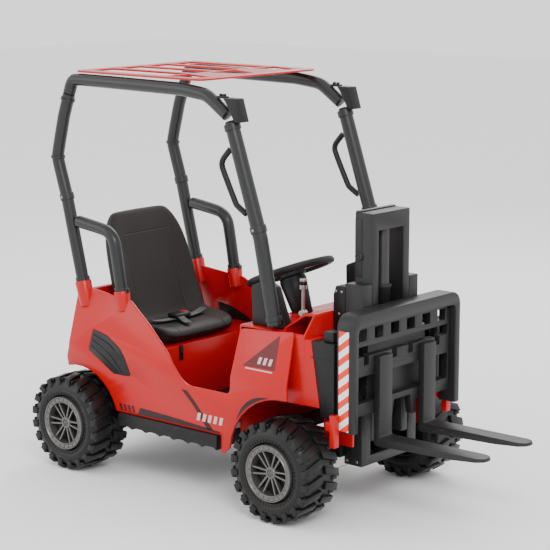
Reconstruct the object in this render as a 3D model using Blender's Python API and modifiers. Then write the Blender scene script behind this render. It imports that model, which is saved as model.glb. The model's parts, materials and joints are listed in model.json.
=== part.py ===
"""Ride-on toy forklift: an electric kids' truck with a tubular cab and a two-stage lifting mast.

Frame: +X towards the forks, +Y to the driver's left, +Z up, metres. The origin is the middle of the
ground rectangle that the truck covers. Every empty stands at axle height, so larger tyres lift the truck.
"""

import math

import bmesh
import bpy
from mathutils import Vector

# Driving dimensions, in metres
WHEELBASE = 0.646
TYRE_RADIUS = 0.1155
TYRE_WIDTH = 0.110
HALF_TRACK = 0.235
RIM_RADIUS = 0.0650
FORK_REACH = 0.432
FORK_WIDTH = 0.045
FORK_SPREAD = 0.081
ROOF_TOP = 0.8345
PANEL_HALF_WIDTH = 0.235
PANEL_THICKNESS = 0.006
SHELL_WALL = 0.005
CAGE_HALF_WIDTH = 0.199
CAGE_TUBE = 0.016
PILLAR_TUBE = 0.0175
ROOF_THICKNESS = 0.0045
DECK_TOP = 0.0445
DECK_DEPTH = 0.035
SILL_HEIGHT = 0.1405
SEAT_SHELF = 0.1825
SEAT_HALF_WIDTH = 0.130
KINGPIN_HALF_TRACK = 0.185
AXLE_ROD = 0.006
STEER_ARM = 0.050
STEER_TILT = math.radians(22)
STEER_WHEEL_RADIUS = 0.098
STEER_RIM_TUBE = 0.0085
MAST_HALF_WIDTH = 0.100
MAST_DEPTH = 0.050
MAST_BACK = 0.060
MAST_BOTTOM = -0.0075
MAST_TOP = 0.3965
INNER_TOP = 0.5545
INNER_HALF_WIDTH = 0.067
CHANNEL_WALL = 0.004
CARRIAGE_HALF_WIDTH = 0.1965
CARRIAGE_FRONT = 0.161
CARRIAGE_DEPTH = 0.047
CARRIAGE_BOTTOM = 0.0945
CARRIAGE_TOP = 0.3545
GUARD_POST = 0.019
ARCH_CLEARANCE = 0.0165
GAP = 0.0003
RUN_CLEARANCE = 0.0008

FRONT_AXLE_X = (WHEELBASE + TYRE_RADIUS - FORK_REACH) / 2
SIDES = (("L", 1), ("R", -1))

for old in list(bpy.data.objects):
    bpy.data.objects.remove(old, do_unlink=True)

truck = bpy.data.collections.new("toy_forklift")
cutters = bpy.data.collections.new("cutters")
bpy.context.scene.collection.children.link(truck)
bpy.context.scene.collection.children.link(cutters)


def paint(name, colour, roughness, metallic=0.0):
    material = bpy.data.materials.new(name)
    material.use_nodes = True
    shader = material.node_tree.nodes["Principled BSDF"]
    shader.inputs["Base Color"].default_value = (*colour, 1.0)
    shader.inputs["Roughness"].default_value = roughness
    shader.inputs["Metallic"].default_value = metallic
    return material


def empty(name, location, parent=None, rotation=(0, 0, 0)):
    marker = bpy.data.objects.new(name, None)
    marker.location = location
    marker.rotation_euler = rotation
    marker.parent = parent
    truck.objects.link(marker)
    return marker


def place(obj, material, parent, location=(0, 0, 0), rotation=(0, 0, 0)):
    """Gives a finished shape its material and its place in the truck."""
    obj.data.materials.clear()
    obj.data.materials.append(material)
    obj.parent = parent
    obj.location = location
    obj.rotation_euler = rotation
    return obj


def rounded(points, steps=3, closed=True):
    """A closed outline in 2D or an open path in 3D; one number more on a point is its corner's radius."""
    size = 2 if closed else 3
    path = []
    for index, point in enumerate(points):
        here = Vector(point[:size])
        inner = closed or 0 < index < len(points) - 1
        if len(point) == size or not inner:
            path.append(here)
            continue
        radius = point[size]
        before = (Vector(points[index - 1][:size]) - here).normalized()
        after = (Vector(points[(index + 1) % len(points)][:size]) - here).normalized()
        half = before.angle(after) / 2
        centre = here + (before + after).normalized() * radius / math.sin(half)
        start = here + before * radius / math.tan(half) - centre
        end = here + after * radius / math.tan(half) - centre
        sweep = start.angle(end)
        for step in range(steps + 1):
            share = step / steps
            turn = start * math.sin((1 - share) * sweep) + end * math.sin(share * sweep)
            path.append(centre + turn / math.sin(sweep))
    return path


def arc(centre, radius, start, end, steps):
    """Points along a circle from one angle to another, in degrees."""
    angles = [math.radians(start + (end - start) * step / steps) for step in range(steps + 1)]
    return [(centre[0] + radius * math.cos(a), centre[1] + radius * math.sin(a)) for a in angles]


def inset(points, distance):
    """The same closed path, counter-clockwise, moved inwards."""
    result = []
    count = len(points)
    for index in range(count):
        here = Vector(points[index])
        arriving = (here - Vector(points[index - 1])).normalized()
        leaving = (Vector(points[(index + 1) % count]) - here).normalized()
        normal = Vector((-arriving.y - leaving.y, arriving.x + leaving.x)).normalized()
        share = normal.dot(Vector((-arriving.y, arriving.x)))
        result.append(here + normal * distance / share)
    return result


def from_curve(curve, name):
    """The curve's solid as a mesh object, with its caps welded on."""
    guide = bpy.data.objects.new(name, curve)
    truck.objects.link(guide)
    bpy.context.view_layer.update()
    graph = bpy.context.evaluated_depsgraph_get()
    mesh = bpy.data.meshes.new_from_object(guide.evaluated_get(graph))
    bpy.data.objects.remove(guide, do_unlink=True)
    bpy.data.curves.remove(curve)
    work = bmesh.new()
    work.from_mesh(mesh)
    bmesh.ops.remove_doubles(work, verts=work.verts, dist=1e-6)
    bmesh.ops.recalc_face_normals(work, faces=work.faces)
    work.to_mesh(mesh)
    work.free()
    obj = bpy.data.objects.new(name, mesh)
    mesh.name = name
    truck.objects.link(obj)
    return obj


def plate(name, loops, thickness):
    """A flat outline, with holes if there are more loops, extruded both ways along local Z."""
    curve = bpy.data.curves.new(name, "CURVE")
    curve.dimensions = "2D"
    curve.fill_mode = "BOTH"
    curve.extrude = thickness / 2
    for loop in loops:
        spline = curve.splines.new("POLY")
        spline.points.add(len(loop) - 1)
        for point, spot in zip(spline.points, loop):
            point.co = (spot[0], spot[1], 0, 1)
        spline.use_cyclic_u = True
    return from_curve(curve, name)


def side_plate(name, loops, low, high, material, parent):
    """An outline drawn in X and Z that fills the width from low to high in Y."""
    obj = plate(name, loops, high - low)
    return place(obj, material, parent, (0, (low + high) / 2, 0), (math.pi / 2, 0, 0))


def front_plate(name, loops, low, high, material, parent):
    """An outline drawn in Y and Z that fills the depth from low to high in X."""
    obj = plate(name, loops, high - low)
    return place(obj, material, parent, ((low + high) / 2, 0, 0), (math.pi / 2, 0, math.pi / 2))


def plan_plate(name, loops, low, high, material, parent):
    """An outline drawn in X and Y that fills the height from low to high."""
    obj = plate(name, loops, high - low)
    return place(obj, material, parent, (0, 0, (low + high) / 2))


def rectangle(left, bottom, right, top):
    return [(left, bottom), (right, bottom), (right, top), (left, top)]


def box(name, low, high, material, parent, bevel=0.0):
    """A block between two opposite corners."""
    mesh = bpy.data.meshes.new(name)
    work = bmesh.new()
    bmesh.ops.create_cube(work, size=1.0)
    size = [high[axis] - low[axis] for axis in range(3)]
    bmesh.ops.scale(work, vec=size, verts=work.verts)
    if bevel:
        bmesh.ops.bevel(
            work, geom=work.edges[:], offset=bevel, segments=1, profile=0.5, affect="EDGES"
        )
    work.to_mesh(mesh)
    work.free()
    obj = bpy.data.objects.new(name, mesh)
    truck.objects.link(obj)
    middle = [(high[axis] + low[axis]) / 2 for axis in range(3)]
    return place(obj, material, parent, middle)


def rod(name, radius, low, high, material, parent, sides=12):
    """A straight round bar along local Z."""
    mesh = bpy.data.meshes.new(name)
    work = bmesh.new()
    bmesh.ops.create_cone(
        work, cap_ends=True, segments=sides, radius1=radius, radius2=radius, depth=high - low
    )
    bmesh.ops.translate(work, vec=(0, 0, (low + high) / 2), verts=work.verts)
    work.to_mesh(mesh)
    work.free()
    obj = bpy.data.objects.new(name, mesh)
    truck.objects.link(obj)
    return place(obj, material, parent)


def tube(name, points, radius, material, parent, rings=3):
    """A round bar along a path."""
    curve = bpy.data.curves.new(name, "CURVE")
    curve.dimensions = "3D"
    curve.bevel_depth = radius
    curve.bevel_resolution = rings
    curve.use_fill_caps = True
    spline = curve.splines.new("POLY")
    spline.points.add(len(points) - 1)
    for point, spot in zip(spline.points, points):
        point.co = (*spot, 1)
    return place(from_curve(curve, name), material, parent)


def turned(name, profile, material, parent, steps=24):
    """A closed profile in radius and height, turned round local Z."""
    mesh = bpy.data.meshes.new(name)
    work = bmesh.new()
    ring = [work.verts.new((radius, 0, height)) for radius, height in profile]
    for index, vert in enumerate(ring):
        work.edges.new((ring[index - 1], vert))
    work.to_mesh(mesh)
    work.free()
    obj = bpy.data.objects.new(name, mesh)
    truck.objects.link(obj)
    screw = obj.modifiers.new("Turn", "SCREW")
    screw.steps = steps
    screw.render_steps = steps
    screw.use_merge_vertices = True
    screw.merge_threshold = 0.0001
    return place(obj, material, parent)


def combine(obj, other, operation="DIFFERENCE"):
    """Cuts the other shape from the object, or joins it on, and hides it."""
    truck.objects.unlink(other)
    cutters.objects.link(other)
    other.hide_render = True
    other.display_type = "WIRE"
    boolean = obj.modifiers.new(operation.title(), "BOOLEAN")
    boolean.operation = operation
    boolean.object = other
    boolean.solver = "EXACT"
    return obj


def join(obj, *others):
    for other in others:
        combine(obj, other, "UNION")
    return obj


def cut(obj, *others):
    for other in others:
        combine(obj, other)
    return obj


def mirrored(points):
    """Half an outline, given for positive second coordinates, with its mirror image."""
    return list(points) + [(x, -y) for x, y in reversed(points)]


red = paint("red_plastic", (0.78, 0.012, 0.018), 0.32)
dark = paint("dark_grey_plastic", (0.045, 0.045, 0.05), 0.45)
black = paint("black_plastic", (0.012, 0.012, 0.013), 0.5)
tube_grey = paint("grey_painted_tube", (0.11, 0.11, 0.115), 0.35, 0.3)
seat_brown = paint("seat_plastic", (0.04, 0.034, 0.032), 0.4)
tyre_black = paint("tyre_plastic", (0.022, 0.022, 0.022), 0.6)
rim_silver = paint("rim_silver", (0.36, 0.33, 0.32), 0.35, 0.5)
steel = paint("zinc_steel", (0.55, 0.55, 0.57), 0.3, 1.0)
webbing = paint("black_webbing", (0.01, 0.01, 0.01), 0.8)
pack_blue = paint("battery_case", (0.02, 0.03, 0.05), 0.5)

front = empty("front_axle", (FRONT_AXLE_X, 0, TYRE_RADIUS))
rear = empty("rear_axle_frame", (-WHEELBASE, 0, 0), front)

# Chassis: an inverted tray with a running board moulded along each side
TYRE_INNER = HALF_TRACK - TYRE_WIDTH / 2
BOARD_BACK = -WHEELBASE + 0.140
BOARD_FRONT = -0.193
BOARD_OUT = PANEL_HALF_WIDTH + 0.008
BOARD_TOP = DECK_TOP - 0.004
DECK_LOW = DECK_TOP - DECK_DEPTH
DECK_WIDE = PANEL_HALF_WIDTH - PANEL_THICKNESS - GAP
DECK_REAR_HALF = TYRE_INNER - 0.030
DECK_FRONT_HALF = 0.115
TAIL = -WHEELBASE - 0.069
NOSE_TIP = MAST_BACK - GAP

plan = mirrored([
    (TAIL, DECK_REAR_HALF),
    (BOARD_BACK, DECK_REAR_HALF),
    (BOARD_BACK, DECK_WIDE),
    (BOARD_FRONT, DECK_WIDE),
    (BOARD_FRONT, DECK_FRONT_HALF),
    (NOSE_TIP, DECK_FRONT_HALF),
])[::-1]
chassis = plan_plate("chassis", [plan], DECK_LOW, DECK_TOP, black, front)
hollow = inset(plan, 0.006)
chassis_hollow = plan_plate("chassis_hollow", [hollow], DECK_LOW - 0.01, DECK_TOP - 0.008, black, front)
cut(chassis, chassis_hollow)


def board_outline(scallops=7):
    """Running board seen from the side: a flat top and a row of shallow scallops below."""
    low = DECK_LOW - 0.003
    pitch = (BOARD_FRONT - BOARD_BACK) / scallops
    points = [(BOARD_FRONT, BOARD_TOP), (BOARD_BACK, BOARD_TOP)]
    for index in range(scallops):
        left = BOARD_BACK + index * pitch
        points += [(left, low), (left + 0.3 * pitch, low + 0.005), (left + 0.7 * pitch, low + 0.005)]
    return points + [(BOARD_FRONT, low)]


for tag, side in SIDES:
    edges = sorted((side * (DECK_WIDE - 0.004), side * BOARD_OUT))
    join(chassis, side_plate(f"board_{tag}", [board_outline()], *edges, black, front))

# The steering shaft's crank swings in a slot through the deck
SLOT_HALF = 0.036
cut(chassis, box("crank_slot", (-0.090, -SLOT_HALF, 0.0), (-0.004, SLOT_HALF, 0.10), black, front))

# Side panels: one red skin per side, leaning in above the belt line
BELT_LINE = SEAT_SHELF
LEAN = 0.27
PANEL_TOP = 0.3200
ARCH = TYRE_RADIUS + ARCH_CLEARANCE
FRONT_ARCH = TYRE_RADIUS + 0.0345
SILL_LOW = BOARD_TOP + 0.0005
VENT_GAP = 0.0006


def lean_at(height):
    """How far the skin stands inside its widest place."""
    return max(0.0, height - BELT_LINE) * LEAN


def vent_outline(grow=0.0):
    axle = -WHEELBASE
    corners = [
        (axle + 0.036, 0.176, 0.004), (axle + 0.118, 0.131, 0.010), (axle + 0.175, 0.132, 0.004),
        (axle + 0.148, 0.187, 0.060), (axle + 0.088, 0.216, 0.060), (axle + 0.040, 0.2245, 0.004),
    ]
    return inset(rounded(corners), -grow)


def panel_outline():
    axle = -WHEELBASE
    rear_arch = [(x + axle, z) for x, z in arc((0, 0), ARCH, 18, 106, 8)]
    nose_arch = arc((-0.012, 0), FRONT_ARCH, 84, 174, 8)
    corners = [
        (axle - 0.041, 0.150), (axle - 0.034, 0.176, 0.010), (axle - 0.032, 0.300), (axle - 0.022, PANEL_TOP, 0.020),
        (axle + 0.092, 0.3085, 0.010), (axle + 0.144, 0.3045, 0.020), (axle + 0.222, 0.2545, 0.080),
        (axle + 0.293, 0.2010, 0.040), (axle + 0.346, SILL_HEIGHT, 0.050), (-0.161, SILL_HEIGHT, 0.012),
        (-0.153, 0.2880, 0.012), (0.000, 0.2990, 0.008), (0.006, FRONT_ARCH),
    ]
    low = [
        (-0.179, 0.000), (-0.1875, 0.000), (-0.1875, SILL_LOW), (BOARD_BACK, SILL_LOW),
    ]
    return rounded(corners + nose_arch[1:] + low) + rear_arch


def leaned(obj, side):
    """Bends the flat skin inwards above the belt line."""
    work = bmesh.new()
    work.from_mesh(obj.data)
    geometry = work.verts[:] + work.edges[:] + work.faces[:]
    bmesh.ops.bisect_plane(
        work, geom=geometry, dist=1e-6, plane_co=(0, BELT_LINE, 0), plane_no=(0, 1, 0)
    )
    for vert in work.verts:
        vert.co.z += side * lean_at(vert.co.y)
    work.to_mesh(obj.data)
    work.free()
    return obj


for tag, side in SIDES:
    edges = sorted((side * (PANEL_HALF_WIDTH - PANEL_THICKNESS), side * PANEL_HALF_WIDTH))
    panel = side_plate(f"side_panel_{tag}", [panel_outline(), vent_outline(VENT_GAP)], *edges, red, front)
    leaned(panel, side)
    vent = side_plate(f"side_vent_{tag}", [vent_outline()], *edges, black, front)
    leaned(vent, side)

# Seat box and rear cover: bent red sheets between the side panels
SEAT_FRONT = 0.186
SEAT_HINGE = 0.030


def sheet(name, path, half_width, thickness, material, parent):
    """A sheet as wide as the truck's inside, following a path in X and Z; it grows to the path's left."""
    mesh = bpy.data.meshes.new(name)
    work = bmesh.new()
    line = [work.verts.new((x, -half_width, z)) for x, z in path]
    edges = [work.edges.new(pair) for pair in zip(line, line[1:])]
    grown = bmesh.ops.extrude_edge_only(work, edges=edges)["geom"]
    moved = [item for item in grown if isinstance(item, bmesh.types.BMVert)]
    bmesh.ops.translate(work, vec=(0, 2 * half_width, 0), verts=moved)
    bmesh.ops.recalc_face_normals(work, faces=work.faces)
    work.to_mesh(mesh)
    work.free()
    obj = bpy.data.objects.new(name, mesh)
    truck.objects.link(obj)
    wall = obj.modifiers.new("Wall", "SOLIDIFY")
    wall.thickness = thickness
    wall.offset = 0
    wall.use_even_offset = True
    return place(obj, material, parent)


half_wall = SHELL_WALL / 2
box_path = [
    (SEAT_FRONT, DECK_TOP + GAP),
    (SEAT_FRONT, SEAT_SHELF - half_wall),
    (SEAT_HINGE, SEAT_SHELF - half_wall),
]
sheet("seat_box", box_path, DECK_WIDE, SHELL_WALL, red, rear)
COVER_HALF = PANEL_HALF_WIDTH - PANEL_THICKNESS - lean_at(0.312) - 0.0006
cover_path = [
    (SEAT_HINGE - 0.004, SEAT_SHELF + 0.0012),
    (-0.014, 0.3060),
    (-0.026, 0.3060),
    (-0.0375, 0.1500),
]
sheet("rear_cover", cover_path, COVER_HALF, SHELL_WALL, red, rear)

# Front cowl: the sheet ahead of the driver's feet and the dash on top of it
DASH_TOP = 0.2945
DASH_BACK = -0.1600
DASH_FRONT = -0.0400
dash_path = [(DASH_BACK, DECK_TOP + GAP), (DASH_BACK, DASH_TOP - half_wall),
    (DASH_FRONT, DASH_TOP - half_wall)]
DASH_HALF = PANEL_HALF_WIDTH - PANEL_THICKNESS - lean_at(DASH_TOP) - 0.0012
dash = sheet("dash_panel", dash_path, DASH_HALF, SHELL_WALL, red, front)

# Nose: a hollow red body over the front axle, open below
NOSE_HALF = 0.1990
NOSE_LOW = 0.1390
NOSE_FRONT = 0.0255
BOX_TOP = 0.2870
nose_outline = rounded([
    (DASH_FRONT + 0.001, NOSE_LOW), (NOSE_FRONT, NOSE_LOW), (NOSE_FRONT, 0.3370, 0.006),
    (-0.0020, 0.3345, 0.015), (DASH_FRONT + 0.001, 0.3040, 0.010),
])
nose_outline = [tuple(point) for point in nose_outline]
nose = side_plate("nose_body", [nose_outline], -NOSE_HALF, NOSE_HALF, red, front)
nose_inside = inset(nose_outline, SHELL_WALL)
nose_inside = [(x, z - 0.02 if z < 0.150 else z) for x, z in nose_inside]
cut(nose, side_plate("nose_hollow", [nose_inside], SHELL_WALL - NOSE_HALF, NOSE_HALF - SHELL_WALL, red,
    front))
CHEEK_START = 0.1500
for tag, side in SIDES:
    outline = [(NOSE_FRONT - 0.002, NOSE_LOW + 0.001), (0.0690, NOSE_LOW + 0.001), (0.0450, BOX_TOP),
        (0.0235, BOX_TOP)]
    edges = sorted((side * CHEEK_START, side * (NOSE_HALF - 0.0005)))
    join(nose, side_plate(f"nose_cheek_{tag}", [outline], *edges, red, front))
for tag, side in SIDES:
    slope = [(side * 0.140, 0.36), (side * 0.215, 0.36), (side * 0.215, 0.290), (side * NOSE_HALF, 0.290)]
    combine(nose, front_plate(f"nose_slope_{tag}", [slope], -0.06, 0.05, red, front))

# Black covers on the nose's front corners
for tag, side in SIDES:
    outline = [(0.0730, 0.1200), (0.1080, 0.1200), (0.1080, BOX_TOP), (0.0460, BOX_TOP)]
    edges = sorted((side * CHEEK_START, side * NOSE_HALF))
    side_plate(f"corner_box_{tag}", [outline], *edges, black, front)

# Black covers at the feet of the front pillars
for tag, side in SIDES:
    outline = rounded([
        (-0.1400, DASH_TOP + GAP), (-0.0410, DASH_TOP + GAP), (-0.0760, 0.3850, 0.010),
        (-0.1050, 0.3980, 0.020), (-0.1420, 0.3830, 0.006),
    ])
    edges = sorted((side * 0.1560, side * (CAGE_HALF_WIDTH - PILLAR_TUBE - GAP)))
    side_plate(f"pillar_cover_{tag}", [outline], *edges, black, front)

# Front bumper: a red wall behind the mast, and a horn ahead of each wheel on a link behind the carriage
CHEEK_OUT = 0.135
CHEEK_IN = 0.128
BUMPER_BACK = 0.029
HORN_BACK = 0.1095
HORN_FRONT = 0.1240
HORN_OUT = 0.2150
HORN_LOW = 0.0625
LINK_LOW = 0.0985
LINK_HIGH = 0.1180
wall = [(HORN_BACK + 0.001, -CHEEK_OUT), (HORN_BACK + 0.001, -CHEEK_IN), (BUMPER_BACK + 0.006, -CHEEK_IN)]
wall += [(BUMPER_BACK + 0.006, CHEEK_IN), (HORN_BACK + 0.001, CHEEK_IN), (HORN_BACK + 0.001, CHEEK_OUT)]
wall += [(BUMPER_BACK, CHEEK_OUT), (BUMPER_BACK, -CHEEK_OUT)]
bumper = plan_plate("front_bumper", [wall], DECK_TOP + 0.0015, 0.1385, red, front)
for tag, side in SIDES:
    low_out, high_out = sorted((side * CHEEK_IN, side * HORN_OUT))
    low = box(
        f"horn_link_{tag}", (HORN_BACK - 0.012, low_out, LINK_LOW), (HORN_BACK + 0.003, high_out, LINK_HIGH),
        red, front
    )
    low_out, high_out = sorted((side * (CARRIAGE_HALF_WIDTH + 0.002), side * HORN_OUT))
    high = box(
        f"horn_{tag}", (HORN_BACK, low_out, HORN_LOW), (HORN_FRONT, high_out, 0.1345), red, front
    )
    join(bumper, low, high)

# Seat: one moulding with a bolster down each side
SEAT_LOW = SEAT_SHELF + GAP
pad_profile = rounded([
    (0.1860, SEAT_LOW), (0.1900, 0.2270, 0.014), (0.0600, 0.2190, 0.015), (0.0230, 0.3400),
    (-0.0080, 0.4850, 0.010), (-0.0300, 0.4900, 0.012), (-0.0450, 0.4600), (-0.0080, 0.3150),
    (0.0330, SEAT_LOW),
])
bolster_profile = rounded([
    (0.1870, SEAT_LOW), (0.1880, 0.2350, 0.030), (0.0710, 0.2480, 0.030), (0.0300, 0.3700),
    (0.0020, 0.4600, 0.020), (-0.0200, 0.4800, 0.020), (-0.0420, 0.4550), (-0.0080, 0.3150),
    (0.0330, SEAT_LOW),
])
BOLSTER = 0.030
seat = side_plate("seat", [pad_profile], 0.002 - SEAT_HALF_WIDTH, SEAT_HALF_WIDTH - 0.002, seat_brown, rear)
for tag, side in SIDES:
    edges = sorted((side * (SEAT_HALF_WIDTH - BOLSTER), side * SEAT_HALF_WIDTH))
    join(seat, side_plate(f"bolster_{tag}", [bolster_profile], *edges, seat_brown, rear))

# Lap belt: a strap lying over the cushion, and its buckle
BELT_HALF = SEAT_HALF_WIDTH - BOLSTER - 0.002
BELT_X = 0.110
belt_line = [(-BELT_HALF, 0.2300), (-0.04, 0.2262), (0.04, 0.2262), (BELT_HALF, 0.2300)]
belt_top = [(y, z + 0.002) for y, z in belt_line]
front_plate("belt_strap", [belt_line + belt_top[::-1]], BELT_X - 0.0125, BELT_X + 0.0125, webbing, rear)
box(
    "belt_buckle", (BELT_X - 0.017, -0.026, 0.2286), (BELT_X + 0.017, 0.026, 0.2400), black, rear,
    bevel=0.003
)

# Cab tubes: every path is in X, Y and Z
RAIL_REAR_Z = ROOF_TOP - ROOF_THICKNESS - GAP - CAGE_TUBE
RAIL_FRONT_Z = RAIL_REAR_Z - 0.0045
POST_FOOT = -0.015
POST_FOOT_Z = PANEL_TOP + 0.0030
POST_KINK_Z = 0.5305
POST_BEND_Z = 0.6245
POST_LOW = -0.067
POST_HIGH = -0.098
BAR_HEIGHT = 0.4745
BAR_FOOT = 0.115
BAR_FOOT_Z = 0.3130
PILLAR_FOOT = -0.058
PILLAR_KNEE = -0.0985
PILLAR_KNEE_Z = 0.4945
PILLAR_TOP = -0.1870
PILLAR_TOP_Z = RAIL_FRONT_Z - 0.0540


def on_post(height):
    """X of the rear post's lower run at a height, in the rear axle's frame."""
    share = (height - POST_FOOT_Z) / (POST_KINK_Z - POST_FOOT_Z)
    return POST_FOOT + share * (POST_LOW - POST_FOOT)


def between(start, end, share):
    return tuple(a + (b - a) * share for a, b in zip(start, end))


for tag, side in SIDES:
    y = side * CAGE_HALF_WIDTH
    back = -WHEELBASE
    roof_corner = (-0.040, y, RAIL_REAR_Z)
    post = [
        (POST_FOOT, y, POST_FOOT_Z), (POST_LOW, y, POST_KINK_Z, 0.10), (POST_HIGH, y, POST_BEND_Z, 0.05),
        (-0.0720, y, RAIL_REAR_Z - 0.0900, 0.08),
        between((-0.0720, y, RAIL_REAR_Z - 0.0900), roof_corner, 0.62),
    ]
    tube(f"rear_post_{tag}", rounded(post, closed=False), CAGE_TUBE, tube_grey, rear)
    rail = [
        between((back - 0.0720, y, RAIL_REAR_Z - 0.0900), (back - 0.040, y, RAIL_REAR_Z), 0.63),
        (back - 0.040, y, RAIL_REAR_Z, 0.022), (-0.3300, y, RAIL_FRONT_Z, 0.30),
        (-0.2550, y, RAIL_FRONT_Z - 0.0080, 0.070),
        between((-0.2550, y, RAIL_FRONT_Z - 0.0080), (PILLAR_TOP, y, PILLAR_TOP_Z), 0.91),
    ]
    tube(f"roof_rail_{tag}", rounded(rail, closed=False), CAGE_TUBE, tube_grey, front)
    pillar = [
        (PILLAR_FOOT, y, DASH_TOP + 0.0080), (PILLAR_KNEE, y, PILLAR_KNEE_Z, 0.12),
        between((PILLAR_KNEE, y, PILLAR_KNEE_Z), (PILLAR_TOP, y, PILLAR_TOP_Z), 0.972),
    ]
    tube(f"front_pillar_{tag}", rounded(pillar, closed=False), PILLAR_TUBE, tube_grey, front)
    bar = [
        (on_post(BAR_HEIGHT) + CAGE_TUBE + 0.0068, y, BAR_HEIGHT), (0.0900, y, BAR_HEIGHT - 0.0150, 0.045),
        (BAR_FOOT, y, BAR_FOOT_Z),
    ]
    tube(f"side_bar_{tag}", rounded(bar, 4, closed=False), CAGE_TUBE - 0.0005, tube_grey, rear)

# Grab handles behind the front pillars
HANDLE_TUBE = 0.0075


def on_pillar(height):
    """X of the front pillar's upper run at a height."""
    share = (height - PILLAR_KNEE_Z) / (PILLAR_TOP_Z - PILLAR_KNEE_Z)
    return PILLAR_KNEE + share * (PILLAR_TOP - PILLAR_KNEE)


for tag, side in SIDES:
    y = side * CAGE_HALF_WIDTH
    stand = PILLAR_TUBE + 0.0063
    top_z = 0.6850
    foot_z = 0.5450
    grip = [
        (on_pillar(top_z) - stand, y, top_z), (on_pillar(top_z) - 0.054, y, top_z - 0.032, 0.022),
        (on_pillar(foot_z) - 0.054, y, foot_z + 0.018, 0.022), (on_pillar(foot_z) - stand, y, foot_z),
    ]
    tube(f"grab_handle_{tag}", rounded(grip, closed=False), HANDLE_TUBE, black, front, rings=2)

# Lamp housings on the front bends of the roof rails
for tag, side in SIDES:
    z = PILLAR_TOP_Z
    lamp = [(-0.1630, z - 0.008), (-0.1440, z - 0.008), (-0.1600, z + 0.043), (-0.1960, z + 0.043),
        (-0.1850, z + 0.030)]
    edges = sorted((side * (CAGE_HALF_WIDTH - 0.015), side * (CAGE_HALF_WIDTH + 0.015)))
    side_plate(f"roof_lamp_{tag}", [lamp], *edges, black, front)

# Roof: a thin red panel with long slots, resting on the rails
ROOF_HALF = CAGE_HALF_WIDTH + 0.006
ROOF_BACK = -WHEELBASE - 0.030
ROOF_FRONT = -0.2700
SLOT_BACK = ROOF_BACK + 0.028
SLOT_FRONT = -0.4050
SLAT = 0.020
SLOTS = 4
roof_outline = rounded([
    (ROOF_BACK, -ROOF_HALF, 0.02), (ROOF_FRONT, -ROOF_HALF, 0.02), (ROOF_FRONT, ROOF_HALF, 0.02),
    (ROOF_BACK, ROOF_HALF, 0.02),
])
pitch = 2 * (CAGE_HALF_WIDTH - CAGE_TUBE) / SLOTS
holes = []
for index in range(SLOTS):
    low = -2 * pitch + index * pitch + SLAT / 2
    holes.append(rectangle(SLOT_BACK, low, SLOT_FRONT, low + pitch - SLAT))
notch = [(-0.3950, -0.0500), (-0.3050, -0.0180), (-0.3050, 0.0180), (-0.3950, 0.0500)]
for shift in (-0.150, 0, 0.150):
    half = [(x, y * (0.8 if shift else 1.0) + shift) for x, y in notch]
    holes.append(half)
plan_plate("roof_panel", [roof_outline] + holes, ROOF_TOP - ROOF_THICKNESS, ROOF_TOP, red, front)

# Steering: the wheel and its shaft turn about the tilted column
STEER_X = -0.181
STEER_Z = 0.3845
steering = empty("steering_axis", (STEER_X, 0, STEER_Z), front, (0, -STEER_TILT, 0))
HUB_RADIUS = 0.034
rim_ring = turned(
    "steering_wheel",
    [(STEER_WHEEL_RADIUS + x, z) for x, z in arc((0, 0), STEER_RIM_TUBE, 0, -315, 7)],
    dark, steering,
)
hub_ring = [(0.0, 0.012), (0.018, 0.010), (HUB_RADIUS, 0.002), (HUB_RADIUS, -0.012), (0.0, -0.012)]
hub = turned("steering_hub", hub_ring, dark, steering, 16)
join(rim_ring, hub)
for number, angle in enumerate((0, 120, 240)):
    spoke = box(f"spoke_{number}", (0.020, -0.013, -0.005), (STEER_WHEEL_RADIUS - 0.001, 0.013, 0.003),
        dark, steering)
    turn = math.radians(angle)
    middle = spoke.location.copy()
    spoke.location = (middle.x * math.cos(turn), middle.x * math.sin(turn), middle.z)
    spoke.rotation_euler = (0, 0, turn)
    join(rim_ring, spoke)
SHAFT = 0.006
SHAFT_LENGTH = 0.3820
shaft = rod("steering_shaft", SHAFT, -SHAFT_LENGTH, -0.0125, steel, steering, 10)
crank = box(
    "shaft_crank", (-0.030, -0.007, -SHAFT_LENGTH), (0.004, 0.007, -SHAFT_LENGTH + 0.006), steel, steering
)
join(shaft, crank)

# Column housing: a square tapered sleeve standing on the dash
column_frame = empty("column_axis", (STEER_X, 0, STEER_Z), front, (0, -STEER_TILT, 0))
COLUMN_BORE = SHAFT + 0.0012
COLUMN_HEAD = -0.0135
COLUMN_LENGTH = 0.1100
column = turned(
    "column_housing",
    [(0.0300, COLUMN_HEAD), (0.0325, COLUMN_HEAD - 0.008), (0.0230, -COLUMN_LENGTH),
     (COLUMN_BORE, -COLUMN_LENGTH), (COLUMN_BORE, COLUMN_HEAD)],
    black, column_frame, 12,
)
cut(column, box("column_foot", (-0.30, -0.10, 0.10), (-0.01, 0.10, DASH_TOP + GAP), black, front))
dash_hole = rod("dash_hole", SHAFT + 0.0020, -0.150, -0.050, black, column_frame, 12)
cut(dash, dash_hole)

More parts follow.
